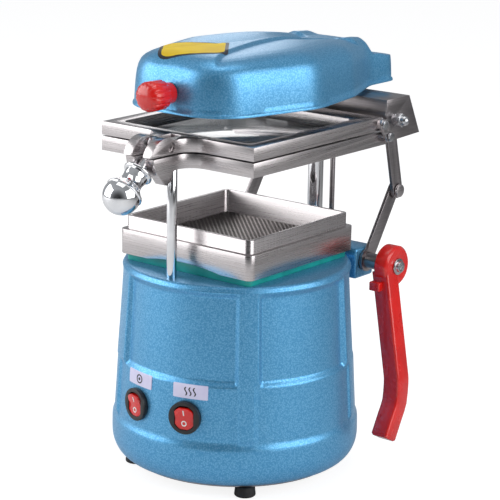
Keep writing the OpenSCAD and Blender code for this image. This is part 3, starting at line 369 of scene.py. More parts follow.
def make_hammertone():
    # Stoved hammertone enamel with aluminium flake: cells with pale tops and darker seams
    material, tree, shader = start_material(
        "hammertone_enamel", "#55a5d2", 0.62, 0.36, Coat_Weight=0.2, Coat_Roughness=0.28
    )
    place = add_node(tree, "ShaderNodeTexCoord")
    warp = add_node(
        tree, "ShaderNodeTexNoise", {"Scale": per_metre(WARP_CELL), "Detail": 2.0},
        {"Vector": place.outputs["Object"]},
    )
    pushed = add_node(tree, "ShaderNodeVectorMath", {"operation": "MULTIPLY_ADD"})
    tree.links.new(warp.outputs["Color"], pushed.inputs[0])
    pushed.inputs[1].default_value = (WARP, WARP, WARP)
    tree.links.new(place.outputs["Object"], pushed.inputs[2])
    cells = add_node(
        tree, "ShaderNodeTexVoronoi",
        {"feature": "SMOOTH_F1", "Scale": per_metre(HAMMER_CELL), "Smoothness": 0.6},
        {"Vector": pushed.outputs[0]},
    )
    tones = add_node(tree, "ShaderNodeValToRGB", links={"Fac": cells.outputs["Distance"]})
    tones.color_ramp.elements[0].position = 0.08
    tones.color_ramp.elements[0].color = srgb("#78bbe2")
    tones.color_ramp.elements[1].position = 0.62
    tones.color_ramp.elements[1].color = srgb("#4d98c8")
    tree.links.new(tones.outputs["Color"], shader.inputs["Base Color"])
    rough_from(tree, shader, cells.outputs["Distance"], 0.3, 0.42)
    height = add_node(tree, "ShaderNodeMath", {"operation": "MULTIPLY"})
    tree.links.new(cells.outputs["Distance"], height.inputs[0])
    height.inputs[1].default_value = -1.0
    bump_from(tree, shader, height.outputs[0], 0.13, 0.6)
    return material


hammer_enamel = make_hammertone()
print("hammertone cells of", HAMMER_CELL, "mm")

# %% [markdown]
# Ground steel has fine lines in one direction. A noise that is stretched a lot along one axis gives
# them. Polished metal has no lines, only faint clouds, and what it shows is what stands round it.

# %% Brushed and polished metal
LINE_STRETCH = 28


def make_brushed(name, dark, light, rough, line_mm=0.5):
    # Ground plate steel: lines run level on upright faces and from side to side on flat ones
    material, tree, shader = start_material(name, light, 1.0, rough)
    place = add_node(tree, "ShaderNodeTexCoord")
    facing = add_node(tree, "ShaderNodeNewGeometry")
    axis = add_node(tree, "ShaderNodeSeparateXYZ", links={"Vector": facing.outputs["Normal"]})
    flat = add_node(tree, "ShaderNodeMath", {"operation": "ABSOLUTE"}, {0: axis.outputs["Z"]})
    lines = []
    fine = per_metre(line_mm)
    for stretch in ((LINE_STRETCH, LINE_STRETCH, fine), (LINE_STRETCH, fine, LINE_STRETCH)):
        turned = add_node(
            tree, "ShaderNodeMapping", {"Scale": stretch}, {"Vector": place.outputs["Object"]}
        )
        lines.append(add_node(
            tree, "ShaderNodeTexNoise", {"Scale": 1.0, "Detail": 2.0, "Roughness": 0.5},
            {"Vector": turned.outputs[0]},
        ))
    mix = add_node(tree, "ShaderNodeMix", {"data_type": "FLOAT"}, {0: flat.outputs[0]})
    tree.links.new(lines[0].outputs["Fac"], mix.inputs[2])
    tree.links.new(lines[1].outputs["Fac"], mix.inputs[3])
    tones = add_node(tree, "ShaderNodeValToRGB", links={"Fac": mix.outputs[0]})
    tones.color_ramp.elements[0].position = 0.36
    tones.color_ramp.elements[0].color = srgb(dark)
    tones.color_ramp.elements[1].position = 0.64
    tones.color_ramp.elements[1].color = srgb(light)
    tree.links.new(tones.outputs["Color"], shader.inputs["Base Color"])
    rough_from(tree, shader, mix.outputs[0], rough - 0.04, rough + 0.06)
    bump_from(tree, shader, mix.outputs[0], 0.006, 0.4)
    return material


def make_smooth_metal(name, dark, light, rough, cell_mm=14):
    # Polished or plated metal: only faint wide clouds in its tone
    material, tree, shader = start_material(name, light, 1.0, rough)
    _, patches = mottle(tree, shader, dark, light, cell_mm)
    rough_from(tree, shader, patches.outputs["Fac"], max(rough - 0.03, 0.02), rough + 0.05)
    return material


print("steel lines run", round(1000 / LINE_STRETCH), "mm before they change")

# %% [markdown]
# Moulded plastic, rubber and ceramic are even in colour, so only a fine grain and a slight cloud
# keep them from looking drawn. The clear sheet lets light through and has a gloss on its face.

# %% Plastics, rubber, ceramic and clear sheet
CLOUD_CELL, SHEET_CELL, RIPPLE_CELL = 20, 30, 40


def make_moulded(name, dark, light, rough, grain_mm, height_mm, **sockets):
    # Moulded plastic or rubber: an even colour, a fine grain and a slight cloudiness
    material, tree, shader = start_material(name, light, 0.0, rough, **sockets)
    place, patches = mottle(tree, shader, dark, light, CLOUD_CELL)
    grain = add_node(
        tree, "ShaderNodeTexNoise", {"Scale": per_metre(grain_mm), "Detail": 2.0},
        {"Vector": place.outputs["Object"]},
    )
    rough_from(tree, shader, patches.outputs["Fac"], rough - 0.04, rough + 0.06)
    bump_from(tree, shader, grain.outputs["Fac"], height_mm, 0.4)
    return material


def make_clear_sheet():
    # Extruded clear copolyester: a glossy face with a faint grey body
    material, tree, shader = start_material(
        "clear_copolyester", "#c9ced2", 0.0, 0.09, Transmission_Weight=0.7, IOR=1.57,
        Coat_Weight=0.6, Coat_Roughness=0.05,
    )
    place, _ = mottle(tree, shader, "#bfc6cb", "#d2d7da", SHEET_CELL)
    ripple = add_node(
        tree, "ShaderNodeTexNoise", {"Scale": per_metre(RIPPLE_CELL), "Detail": 1.0},
        {"Vector": place.outputs["Object"]},
    )
    bump_from(tree, shader, ripple.outputs["Fac"], 0.4, 0.25)
    return material


finish = {
    "hammer_blue": hammer_enamel,
    "steel_plate": make_brushed("ground_plate_steel", "#bcb6b6", "#c9c4c5", 0.27),
    "steel_dark": make_brushed("ground_dark_steel", "#979193", "#a7a2a3", 0.3),
    "mesh_steel": make_brushed("woven_steel", "#6c6766", "#9b9592", 0.38, 0.8),
    "chrome": make_smooth_metal("chrome_plate", "#dedfe2", "#f0f0f2", 0.05),
    "fastener": make_smooth_metal("zinc_plate", "#a9aaae", "#cfd0d2", 0.22, 3),
    "bronze": make_smooth_metal("sintered_bronze", "#a07832", "#c79a50", 0.35, 2),
    "motor_alu": make_smooth_metal("cast_aluminium", "#8d9094", "#b4b7ba", 0.45, 4),
    "motor_copper": make_brushed("enamelled_copper_wire", "#8a4c25", "#c0723c", 0.35, 0.9),
    "reflector_alu": make_smooth_metal("bright_aluminium", "#c9cacd", "#e2e3e5", 0.16, 12),
    "heater_sheath": make_smooth_metal("oxidised_heater_steel", "#3f3733", "#6a5d55", 0.5, 5),
    "red_plastic": make_moulded(
        "glossy_red_abs", "#cc0f0c", "#e01913", 0.26, 1.0, 0.02, Coat_Weight=0.6,
        Coat_Roughness=0.06,
    ),
    "black_plastic": make_moulded("black_nylon", "#141517", "#222326", 0.38, 0.6, 0.03),
    "rubber_black": make_moulded("black_rubber", "#131314", "#1f1f21", 0.62, 0.7, 0.05),
    "gasket_teal": make_moulded("teal_silicone", "#0b8680", "#17a399", 0.42, 1.2, 0.03),
    "ceramic": make_moulded("steatite_ceramic", "#dcd6c8", "#f0ebdf", 0.4, 0.8, 0.02),
    "sheet_plastic": make_clear_sheet(),
}
label_film = make_moulded("white_label_film", "#cfcbea", "#dcd9f2", 0.35, 1.5, 0.01)
label_ink = make_moulded("dark_label_ink", "#1d1d26", "#2a2a35", 0.4, 1.0, 0.01)
decal_yellow = make_moulded("yellow_vinyl", "#dcb800", "#eccb08", 0.55, 1.5, 0.01)
mark_white = make_moulded("white_mark_paint", "#e9e9e6", "#f6f6f4", 0.4, 1.0, 0.01)
print("finishes", len(finish))

# %% [markdown]
# The plates, bars and screws already have the right shape, but their edges are perfectly sharp, and
# no real edge is. A copy of each is merged into one skin, its edges get a small round, and it is
# shaded smooth where faces meet at a low angle. The edge then catches a line of light.

# %% Soften a frame node
slot_of = {s["node"]: s["material_slot"] for s in frame["record"]["subparts"]}
EDGE_ANGLE, SMOOTH_ANGLE, FLAT_ANGLE = math.radians(35), math.radians(32), math.radians(1.5)


def soften(node, edge_mm):
    source = frame["nodes"][node]
    copy = source.copy()
    copy.data = source.data.copy()
    copy.name = node + "_finished"
    bpy.context.scene.collection.objects.link(copy)
    copy.parent = None
    for key in list(copy.keys()):
        del copy[key]
    with editing_all(copy):
        bpy.ops.mesh.remove_doubles(threshold=0.004 * MM)
        bpy.ops.mesh.dissolve_limited(angle_limit=FLAT_ANGLE)
    if edge_mm:
        apply_modifier(
            copy, "BEVEL", width=edge_mm * MM, segments=2, limit_method="ANGLE",
            angle_limit=EDGE_ANGLE, use_clamp_overlap=True, miter_outer="MITER_ARC",
        )
    select_only(copy)
    bpy.ops.object.shade_smooth_by_angle(angle=SMOOTH_ANGLE)
    copy.data.materials.clear()
    copy.data.materials.append(finish[slot_of[node]])
    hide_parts(node)
    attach(copy, body_of[node])
    return copy


# The round of each node's edges in millimetres, and 0 for the heating element, a round wire
EDGES = {
    "lower_frame": 0.5, "upper_frame": 0.5, "forming_table": 0.6, "lift_bracket": 0.3,
    "slide_block": 0.5, "crank_right": 0.25, "crank_left": 0.25, "link_right": 0.25,
    "link_left": 0.25, "crank_pins": 0.5, "bracket_bolts": 0.3, "hinge_straps": 0.3,
    "strap_screws": 0.4, "hinge_pivots": 0.4, "lift_shaft": 0.5, "handle_screw": 0.3,
    "front_rod": 0.5, "rear_post": 0.6, "rear_rod": 0.3, "post_collar": 0.5,
    "clamp_stud": 0.3, "clamp_pin": 0.3, "table_gasket": 0.4, "base_plate": 0.3,
    "feet": 0.5, "foot_screws": 0.2, "heat_switch_body": 0.5, "motor_switch_body": 0.5,
    "heat_rocker": 0.35, "motor_rocker": 0.35, "power_inlet": 0.4, "fuse_holder": 0.4,
    "hood_socket": 0.4, "reflector": 0.3, "reflector_standoffs": 0.2, "heating_element": 0,
    "insulators": 0.3, "forming_sheet": 0.15, "table_screws": 0.2, "bracket_screws": 0.2,
    "post_bush": 0.2, "shaft_bushes": 0.2, "front_rod_nut": 0.2, "motor_bracket": 0.4,
    "motor_stator": 0.4, "fan_can": 0.4, "motor_gasket": 0.3, "fan_rotor": 0.2,
    "motor_bracket_screws": 0.2, "hood_knob_stud": 0.2,
}
finished = {node: soften(node, edge) for node, edge in EDGES.items()}
print("softened", len(finished))

# %% [markdown]
# The chrome knob, the housing and the handle's hub are round. For each, a profile of radius and
# height is drawn as a line and spun round an axis, as a lathe does it. Round corners come from arcs.

# %% Turned pieces
def finish_piece(piece, name, body, material, angle=40):
    """Names, smooths and paints a piece, and sets the body that it rides on."""
    piece.name = name
    select_only(piece)
    bpy.ops.object.shade_smooth_by_angle(angle=math.radians(angle))
    piece.data.materials.clear()
    piece.data.materials.append(material)
    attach(piece, body)


def outline_object(name, points, closed=False):
    """An object that is only a line of points, ready to be spun or filled."""
    edges = [(i, i + 1) for i in range(len(points) - 1)]
    if closed:
        edges.append((len(points) - 1, 0))
    return mesh_object(name, [Vector(p) for p in points], [], edges)


def turned(name, profile_mm, steps=96, closed=False):
    """Spins a profile of (radius, height) in millimetres round +Z."""
    made = outline_object(name, [(r * MM, 0, h * MM) for r, h in profile_mm], closed)
    with editing_all(made):
        bpy.ops.mesh.spin(steps=steps, angle=math.tau, center=(0, 0, 0), axis=(0, 0, 1))
        bpy.ops.mesh.select_all(action="SELECT")
        bpy.ops.mesh.remove_doubles(threshold=0.001 * MM)
        bpy.ops.mesh.normals_make_consistent(inside=False)
    return made


def aimed(way):
    """The turn that carries +Z to a direction."""
    return way.to_track_quat("Z", "Y").to_matrix().to_4x4()


def place(obj, matrix):
    """Carries a piece to its place and leaves the place in its mesh."""
    obj.matrix_world = matrix
    to_mesh_place(obj)
    return obj


def arc(cx, cy, radius, start, end, count):
    """Points on an arc in degrees."""
    steps = [math.radians(start + (end - start) * i / count) for i in range(count + 1)]
    return [(cx + radius * math.cos(a), cy + radius * math.sin(a)) for a in steps]


def rounded_rectangle(width, height, corner):
    """Points of a rectangle with round corners, centred on the origin."""
    points = []
    for k, (sx, sy) in enumerate(((1, 1), (-1, 1), (-1, -1), (1, -1))):
        points += arc(sx * (width / 2 - corner), sy * (height / 2 - corner), corner,
                      90 * k, 90 * k + 90, 5)
    return points


print("points in a rounded rectangle", len(rounded_rectangle(10, 10, 1)))

# %% [markdown]
# The clamp knob is turned and chromed: a collar, a waist and a round head. Its profile is placed
# along the stud, whose axis is the joint's axis in the frame, so it follows the clamp.

# %% Clamp knob
joints = {j["name"]: j for j in frame["joints"]}
stud_axis = Vector(joints["knob_turn"]["axis"]).normalized()
pin = Vector(joints["knob_turn"]["pos_m"])
COLLAR_S, COLLAR_R, WAIST_R, HEAD_R = 24.5, 11.0, 8.0, 13.5


def make_clamp_knob():
    waist, rim, dome = COLLAR_S + 9.5, COLLAR_S + 20, COLLAR_S + 24
    profile = [(3.6, COLLAR_S + 18), (3.6, COLLAR_S), (COLLAR_R - 3.5, COLLAR_S)]
    profile += arc(COLLAR_R - 1.5, COLLAR_S + 2.5, 1.5, -45, 90, 6)
    profile += [(COLLAR_R - 2.2, COLLAR_S + 4.4), (COLLAR_R - 2.4, waist - 4)]
    profile += arc(WAIST_R + 9, waist + 0.6, 9, 200, 130, 10)
    profile += [(HEAD_R - 1.5, rim - 1.6), (HEAD_R + 0.1, rim - 0.6)]
    profile += arc(HEAD_R - 0.1, rim + 0.6, 0.6, -60, 70, 4)
    profile += [(HEAD_R - 0.3, rim + 1.6)]
    profile += arc(0, dome, HEAD_R, 0, 90, 18)
    knob = turned("clamp_knob_turned", profile)
    place(knob, Matrix.Translation(pin) @ aimed(stud_axis))
    finish_piece(knob, "clamp_knob_turned", "clamp_knob", finish["chrome"])
    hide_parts("clamp_knob")
    print("clamp knob faces", len(knob.data.polygons))


make_clamp_knob()

# %% [markdown]
# The housing is one round shell. Its profile is spun, and then each point moves in or out a little:
# the upper panels are sunk deepest, the lower ones less, and the ribs between them stand out.
# The edge between two levels is a soft ramp, as cast and painted metal has it, and the profile has
# more points where such an edge runs round.

# %% Housing levels
DECK_Z, DECK_R, SHOULDER_R, SHOULDER_Z = 160, 84.4, 91, 46
RING_R, RING_Z, BASE_R, BASE_Z = 93.3, 28, 81, 10
WALL, FLOOR_T, LEDGE_Z = 3, 4, 88.5
# The top of the base ring: each height, and how far the ring has drawn in there
RING_TOP = [(31, 0), (35, 0.05), (38.5, 0.15), (40.4, 0.35), (41.6, 0.75)]
# The foot of the shoulder: how far the skin stands out from it, and the height
RING_FOOT = [(0.95, 43), (0.35, 44.6)]
WELL_R, HOLE_R, RING_INSET = 20, 67.5, 5.3
FINE_STEP, COARSE_STEP, EDGE_BAND = 0.7, 4, 5
HOUSING_STEPS = 720


def rib_radius(z):
    return DECK_R + (SHOULDER_R - DECK_R) * (DECK_Z - z) / (DECK_Z - SHOULDER_Z)


def smooth_step(x, low, high):
    t = min(max((x - low) / (high - low), 0), 1)
    return t * t * (3 - 2 * t)


# Each panel runs from one angle to another, in degrees to the right of the front
UPPER_PANELS = [(-27, 39.5), (50.5, 104), (116, 240), (252, 318)]
LOWER_PANELS = [(-33, 40.5), (48.5, 107), (113, 243), (249, 321)]
UPPER_SINK, LOWER_SINK, RIB_TOP, RIB_RISE = -2.1, 0.3, 0.9, 1.1
SIDE_RAMP, LEDGE_RAMP = 4.0, 5.0
RIM_SPAN, DECK_SPAN, RIB_SPAN = (151, 156.5), (156, 158), (50, 157)
FOOT_SPAN = (SHOULDER_Z - 3, SHOULDER_Z + 2)
SKIN_SPAN, SKIN_DEPTH = (SHOULDER_Z - 4, DECK_Z - 1.9), 0.6


def within(angle_deg, spans, radius, ramp_mm):
    """1 between two angles and 0 outside them, with a soft ramp of this width."""
    best = 0
    for start, end in spans:
        turn = (angle_deg - (start + end) / 2 + 180) % 360 - 180
        inside = math.radians((end - start) / 2 - abs(turn)) * radius
        best = max(best, smooth_step(inside, -ramp_mm / 2, ramp_mm / 2))
    return best


def panel_offset(angle, z):
    """How far the skin stands out at an angle and height: ribs, panels and ledge."""
    rib = RIB_TOP + RIB_RISE * (1 - smooth_step(z, *RIB_SPAN))
    degrees, radius = math.degrees(angle), rib_radius(z)
    upper = within(degrees, UPPER_PANELS, radius, SIDE_RAMP)
    lower = within(degrees, LOWER_PANELS, radius, SIDE_RAMP * 0.8)
    high = smooth_step(z, LEDGE_Z - LEDGE_RAMP / 2, LEDGE_Z + LEDGE_RAMP / 2)
    rim = smooth_step(z, *RIM_SPAN)
    skin = (rib + (LOWER_SINK - rib) * lower) * (1 - high)
    skin += (rib + (UPPER_SINK - rib) * upper * (1 - rim)) * high
    return skin * smooth_step(z, *FOOT_SPAN) * (1 - smooth_step(z, *DECK_SPAN))


def housing_profile():
    """The closed profile of (radius, height): up the outside, over the deck and down inside."""
    outer = []
    for i in range(13):
        a = math.radians(7.5 * i)
        outer.append((BASE_R + (RING_R - BASE_R) * math.sin(a),
                      BASE_Z + (RING_Z - BASE_Z) * (1 - math.cos(a))))
    outer += [(RING_R - drawn_in, z) for z, drawn_in in RING_TOP]
    outer += [(SHOULDER_R + out, z) for out, z in RING_FOOT]
    z = SHOULDER_Z
    while z < DECK_Z - 3.2:
        outer.append((rib_radius(z), z))
        near_edge = z < 52 or LEDGE_Z - EDGE_BAND < z < LEDGE_Z + EDGE_BAND or z > 149
        z += FINE_STEP if near_edge else COARSE_STEP
    top_r = rib_radius(DECK_Z - 3)
    outer += [(top_r - 3 + x, DECK_Z - 3 + y) for x, y in arc(0, 0, 3, 0, 90, 7)]
    inner = [
        (WELL_R, DECK_Z), (WELL_R, DECK_Z - FLOOR_T), (DECK_R - WALL - 1, DECK_Z - FLOOR_T),
        (SHOULDER_R - WALL - 0.5, SHOULDER_Z), (RING_R - WALL, RING_Z),
        (RING_R - WALL - RING_INSET, BASE_Z + FLOOR_T), (HOLE_R, BASE_Z + FLOOR_T),
        (HOLE_R, BASE_Z),
    ]
    return outer + inner


def shape_panels(shell):
    """Moves the points of the outer skin, and leaves the inner wall round."""
    for vertex in shell.data.vertices:
        x, y, z = (c / MM for c in vertex.co)
        radius = math.hypot(x, y)
        if SKIN_SPAN[0] < z < SKIN_SPAN[1] and radius > rib_radius(z) - SKIN_DEPTH:
            moved = (radius + panel_offset(math.atan2(x, -y), z)) / radius
            vertex.co.x *= moved
            vertex.co.y *= moved


print("housing profile points", len(housing_profile()))

# %% [markdown]
# The shell is spun from its profile and shaped. Then holes are cut for the two switches and the
# fuse holder, which are round, and for the power inlet, which is square. A cutter that is placed on
# the side, square to the wall, does for a hole what a drill does.

# %% Housing shell
SWITCH_Z, SWITCH_HOLE_R, FUSE_HOLE_R = 62.5, 12.0, 8.8
HEAT_ANGLE, MOTOR_ANGLE, FUSE_ANGLE = 15.6, -13.5, -154
CUT_R, CUT_L, INLET_SIZE = 90, 30, (27.2, 40, 20.2)


def cut_with(piece, cutter):
    apply_modifier(piece, "BOOLEAN", operation="DIFFERENCE", object=cutter, solver="EXACT")
    bpy.data.objects.remove(cutter)


def on_side(angle_deg, z_mm, radius_mm):
    """A frame on the housing's side: X to the right, Y up and Z outwards."""
    a = math.radians(angle_deg)
    out = Vector((math.sin(a), -math.cos(a), 0))
    right = Vector((math.cos(a), math.sin(a), 0))
    turn = Matrix((right, Vector((0, 0, 1)), out)).transposed().to_4x4()
    return Matrix.Translation(out * radius_mm * MM + Vector((0, 0, z_mm * MM))) @ turn


def round_cutter(angle_deg, radius_mm):
    bpy.ops.mesh.primitive_cylinder_add(vertices=72, radius=radius_mm * MM, depth=CUT_L * MM)
    return place(bpy.context.object, on_side(angle_deg, SWITCH_Z, CUT_R))


def make_housing():
    shell = turned("housing_shell", housing_profile(), HOUSING_STEPS, closed=True)
    shape_panels(shell)
    for angle in (HEAT_ANGLE, MOTOR_ANGLE):
        cut_with(shell, round_cutter(angle, SWITCH_HOLE_R))
    cut_with(shell, round_cutter(FUSE_ANGLE, FUSE_HOLE_R))
    bpy.ops.mesh.primitive_cube_add(size=MM)
    inlet = bpy.context.object
    inlet.scale = INLET_SIZE
    inlet.location = (0, CUT_R * MM, SWITCH_Z * MM)
    to_mesh_place(inlet)
    cut_with(shell, inlet)
    finish_piece(shell, "housing_shell", "base", hammer_enamel, 38)
    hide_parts("housing")
    return shell


housing_shell = make_housing()
print("housing faces", len(housing_shell.data.polygons))

# %% [markdown]
# Behind the table a cast block carries the lift shaft, and a boss carries the post and the rear
# rod. On the real housing both are cast on. Here they are boxes with bevelled edges, drilled as the
# casting is. Four short pillars under the table have their screw holes drilled in the same way.

# %% Shaft lugs, post boss and pillars
LUG_HALF, LUG_FRONT, LUG_REAR, LUG_LOW, LUG_TOP = 62, 66, 89, 140.5, 164
SHAFT_Y, SHAFT_Z, SHAFT_BORE_R, POST_Y, POST_BORE_R = 77.5, 154, 8.05, 96, 6.05
BOSS_HALF, BOSS_FRONT, BOSS_REAR, BOSS_LOW = 22, 81, 108, 114.5
BOSS_SLOPE_Y, ROD_X, SMALL_BORE_R = 86, 16.2, 2.05
PILLAR_AT, PILLAR_R, PILLAR_L, PILLAR_Z = 42, 5, 9, 164.5


def block(name, low_mm, high_mm, bevel_mm=0):
    """A box from corner to corner, with rounded edges where a bevel is given."""
    bpy.ops.mesh.primitive_cube_add(size=1)
    made = bpy.context.object
    low, high = Vector(low_mm) * MM, Vector(high_mm) * MM
    made.scale = high - low
    made.location = (low + high) / 2
    to_mesh_place(made)
    made.name = name
    if bevel_mm:
        apply_modifier(made, "BEVEL", width=bevel_mm * MM, segments=3, limit_method="NONE")
    return made


def drill(piece, start_mm, end_mm, radius_mm):
    """Cuts a round hole from one point to another."""
    start, end = Vector(start_mm) * MM, Vector(end_mm) * MM
    way = end - start
    bpy.ops.mesh.primitive_cylinder_add(vertices=64, radius=radius_mm * MM, depth=way.length)
    cutter = place(bpy.context.object, Matrix.Translation((start + end) / 2) @ aimed(way))
    cut_with(piece, cutter)


def finish_casting(piece, name):
    finish_piece(piece, name, "base", hammer_enamel)
    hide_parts("housing")


def make_lugs():
    low, high = (-LUG_HALF, LUG_FRONT, LUG_LOW), (LUG_HALF, LUG_REAR, LUG_TOP)
    lugs = block("shaft_lugs", low, high, 2.2)
    drill(lugs, (-70, SHAFT_Y, SHAFT_Z), (70, SHAFT_Y, SHAFT_Z), SHAFT_BORE_R)
    finish_casting(lugs, "shaft_lugs")


def make_post_boss():
    low, high = (-BOSS_HALF, BOSS_FRONT, BOSS_LOW), (BOSS_HALF, BOSS_REAR, LUG_TOP)
    boss = block("post_boss", low, high)
    with editing_all(boss):
        bpy.ops.mesh.bisect(
            plane_co=(0, BOSS_SLOPE_Y * MM, BOSS_LOW * MM), plane_no=(0, 1, -1), use_fill=True,
            clear_outer=True, clear_inner=False,
        )
    apply_modifier(boss, "BEVEL", width=2 * MM, segments=3, limit_method="ANGLE",
                   angle_limit=math.radians(30))
    drill(boss, (0, POST_Y, 100), (0, POST_Y, 170), POST_BORE_R)
    drill(boss, (ROD_X, POST_Y, 120), (ROD_X, POST_Y, 170), SMALL_BORE_R)
    finish_casting(boss, "post_boss")


def make_pillar(name, x, y):
    bpy.ops.mesh.primitive_cylinder_add(
        vertices=32, radius=PILLAR_R * MM, depth=PILLAR_L * MM,
        location=(x * MM, y * MM, PILLAR_Z * MM),
    )
    pillar = bpy.context.object
    to_mesh_place(pillar)
    drill(pillar, (x, y, 155), (x, y, 175), SMALL_BORE_R)
    finish_casting(pillar, name)


make_lugs()
make_post_boss()
for x_side, x in (("left", -PILLAR_AT), ("right", PILLAR_AT)):
    for y_side, y in (("front", -PILLAR_AT), ("rear", PILLAR_AT)):
        make_pillar(f"table_pillar_{x_side}_{y_side}", x, y)
print("castings on the deck", 6)

# %% [markdown]
# The hood is a pressed shell shaped like an egg with a tail. No primitive comes near this form, so
# its points are computed. The outline is drawn round a few circles, as a rubber band lies round
# pins, with a straight tail behind, and is smoothed where the pieces meet.

# %% Hood outline
HOOD_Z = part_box("hood_shell")[0].z / MM
TAIL_HALF, TAIL_REAR, TAIL_H = 38, 146, 19.6
TAIL_ROUND, NECK_Y, TAIL_START = 5, 96, 106
OUTLINE_POINTS, OUTLINE_ROUNDS = 288, 9
HOOD_H = 41
SPINE_LOW, SPINE_HIGH = -36.0, 118.0
# How far the side has come in from the outline, and the height that it has there
SIDE = [(-1.2, 0), (-1.25, 1.0), (-0.9, 1.9), (0, 2.6), (0.1, 6), (0.4, 11), (0.75, 16),
        (1.2, 20.5), (1.9, 25), (3, 29), (4.7, 32.4), (7, 35.1), (10, 37.3), (14, 39),
        (19.5, 40.1), (27, 40.8), (37, 41), (80, 41)]
WALL_ROWS = 11
BODY_CIRCLES = [(-16, -41, 38), (16, -41, 38), (-28.5, 9, 38), (28.5, 9, 38),
                (-24, 55, 34), (24, 55, 34), (-28, 99, 11), (28, 99, 11)]
TOP_CIRCLES = BODY_CIRCLES[:6] + [(-26, 107, 11), (26, 107, 11)]
RIDGE = [(29, -62), (23, -51), (16.7, -36), (9.2, -9), (4.4, 14), (2, 36), (2, 59), (3.4, 77),
         (7.5, 89), (15, 95), (25, 98), (36, 99)]


def circle_hull(circles, step_deg=3):
    """The outline round a set of circles (x, y, r), as a rubber band would lie."""
    points = []
    for i in range(int(360 / step_deg)):
        a = math.radians(i * step_deg)
        way = (math.sin(a), -math.cos(a))
        best = max(circles, key=lambda c: c[0] * way[0] + c[1] * way[1] + c[2])
        points.append((best[0] + best[2] * way[0], best[1] + best[2] * way[1]))
    return points


def resample(points, count):
    """Spreads a closed line's points evenly."""
    loop = points + [points[0]]
    lengths = [math.dist(loop[i], loop[i + 1]) for i in range(len(points))]
    total, made, i, walked = sum(lengths), [], 0, 0.0
    for k in range(count):
        goal = total * k / count
        while walked + lengths[i] < goal:
            walked += lengths[i]
            i += 1
        t = (goal - walked) / lengths[i] if lengths[i] else 0
        made.append(tuple(loop[i][j] + (loop[i + 1][j] - loop[i][j]) * t for j in (0, 1)))
    return made


def smoothed(points, rounds):
    """Draws each point of a closed line towards its neighbours, as often as asked."""
    n = len(points)
    for _ in range(rounds):
        points = [
            tuple((points[i - 1][j] + 2 * points[i][j] + points[(i + 1) % n][j]) / 4
                  for j in (0, 1))
            for i in range(n)
        ]
    return points


def edge_distance(x, y, polygon):
    """Distance from a point to a closed line."""
    best = 1e9
    for (x0, y0), (x1, y1) in zip(polygon, polygon[1:] + polygon[:1]):
        dx, dy = x1 - x0, y1 - y0
        long2 = dx * dx + dy * dy or 1e-9
        t = min(max(((x - x0) * dx + (y - y0) * dy) / long2, 0), 1)
        best = min(best, math.hypot(x - x0 - t * dx, y - y0 - t * dy))
    return best


def hood_outline():
    right = [p for p in circle_hull(BODY_CIRCLES) if p[0] >= 0 and p[1] < TAIL_START]
    right = [p for p in right if not (p[1] > NECK_Y and p[0] < TAIL_HALF)]
    right.sort(key=lambda p: math.atan2(p[0], -(p[1] - 10)))
    right += [(TAIL_HALF, 110), (TAIL_HALF, 125)]
    right += arc(TAIL_HALF - TAIL_ROUND, TAIL_REAR - TAIL_ROUND, TAIL_ROUND, 0, 90, 5)
    right += [(0, TAIL_REAR)]
    left = [(-x, y) for x, y in reversed(right) if x > 0.01]
    return smoothed(resample(right + left, OUTLINE_POINTS), OUTLINE_ROUNDS)


hood_edge = hood_outline()
print("hood outline points", len(hood_edge))

# %% [markdown]
# The height of the hood at a point has four parts. The side rises with the distance from the edge.
# The top falls gently to the rear and dips there in the middle. Over the tail the height is capped,
# with a round where the cap begins. Two lobes are sunk a little each side of a ridge.

# %% Hood heights
TOP_EDGE = circle_hull(TOP_CIRCLES, 5)
REAR_FALL, FALL_SPAN = 3.6, (30, 125)
DIP, DIP_SPAN, DIP_SIDE = 3.2, (46, 86), (10, 27)
ROUND_SPAN = (14, 34)
CAP_START, CAP_SPAN, CAP_ROUND = 70, (-5, 7), 1.2
TAIL_RISE, RISE_SPAN = 3.4, (120, 142)
LOBE, LOBE_SPAN, LOBE_FADE, LOBE_FULL = 2.0, (-1.2, 1.8), 18, (33, 39)


def side_height(inset):
    """The height that the side has reached at a distance inside the edge."""
    for (a, h0), (b, h1) in zip(SIDE, SIDE[1:]):
        if a <= inset <= b:
            return h0 + (h1 - h0) * (inset - a) / (b - a)
    return SIDE[-1][1]


def top_distance(x, y):
    """Distance inside the high part of the body, negative over the tail."""
    away = edge_distance(x, y, TOP_EDGE)
    return -away if is_behind_top(x, y) else away


def is_behind_top(x, y):
    cx, cy, r = TOP_CIRCLES[-1]
    past_round = math.hypot(max(abs(x) - cx, 0), y - cy) > r
    return y > cy and (abs(x) < cx and y > cy + r or past_round)


def ridge_distance(x, y):
    """Signed distance from the ridge line, positive inside the lobe."""
    best, sign = 1e9, 1
    for (x0, y0), (x1, y1) in zip(RIDGE, RIDGE[1:]):
        dx, dy = x1 - x0, y1 - y0
        t = min(max(((x - x0) * dx + (y - y0) * dy) / (dx * dx + dy * dy), 0), 1)
        away = math.hypot(x - x0 - t * dx, y - y0 - t * dy)
        if away < best:
            best = away
            sign = 1 if dx * (y - y0) - dy * (x - x0) < 0 else -1
    return best * sign


def soft_min(a, b, soft):
    """The smaller of two heights, with a round where they meet."""
    mix = min(max(0.5 + (b - a) / (2 * soft), 0), 1)
    return b * (1 - mix) + a * mix - soft * mix * (1 - mix)


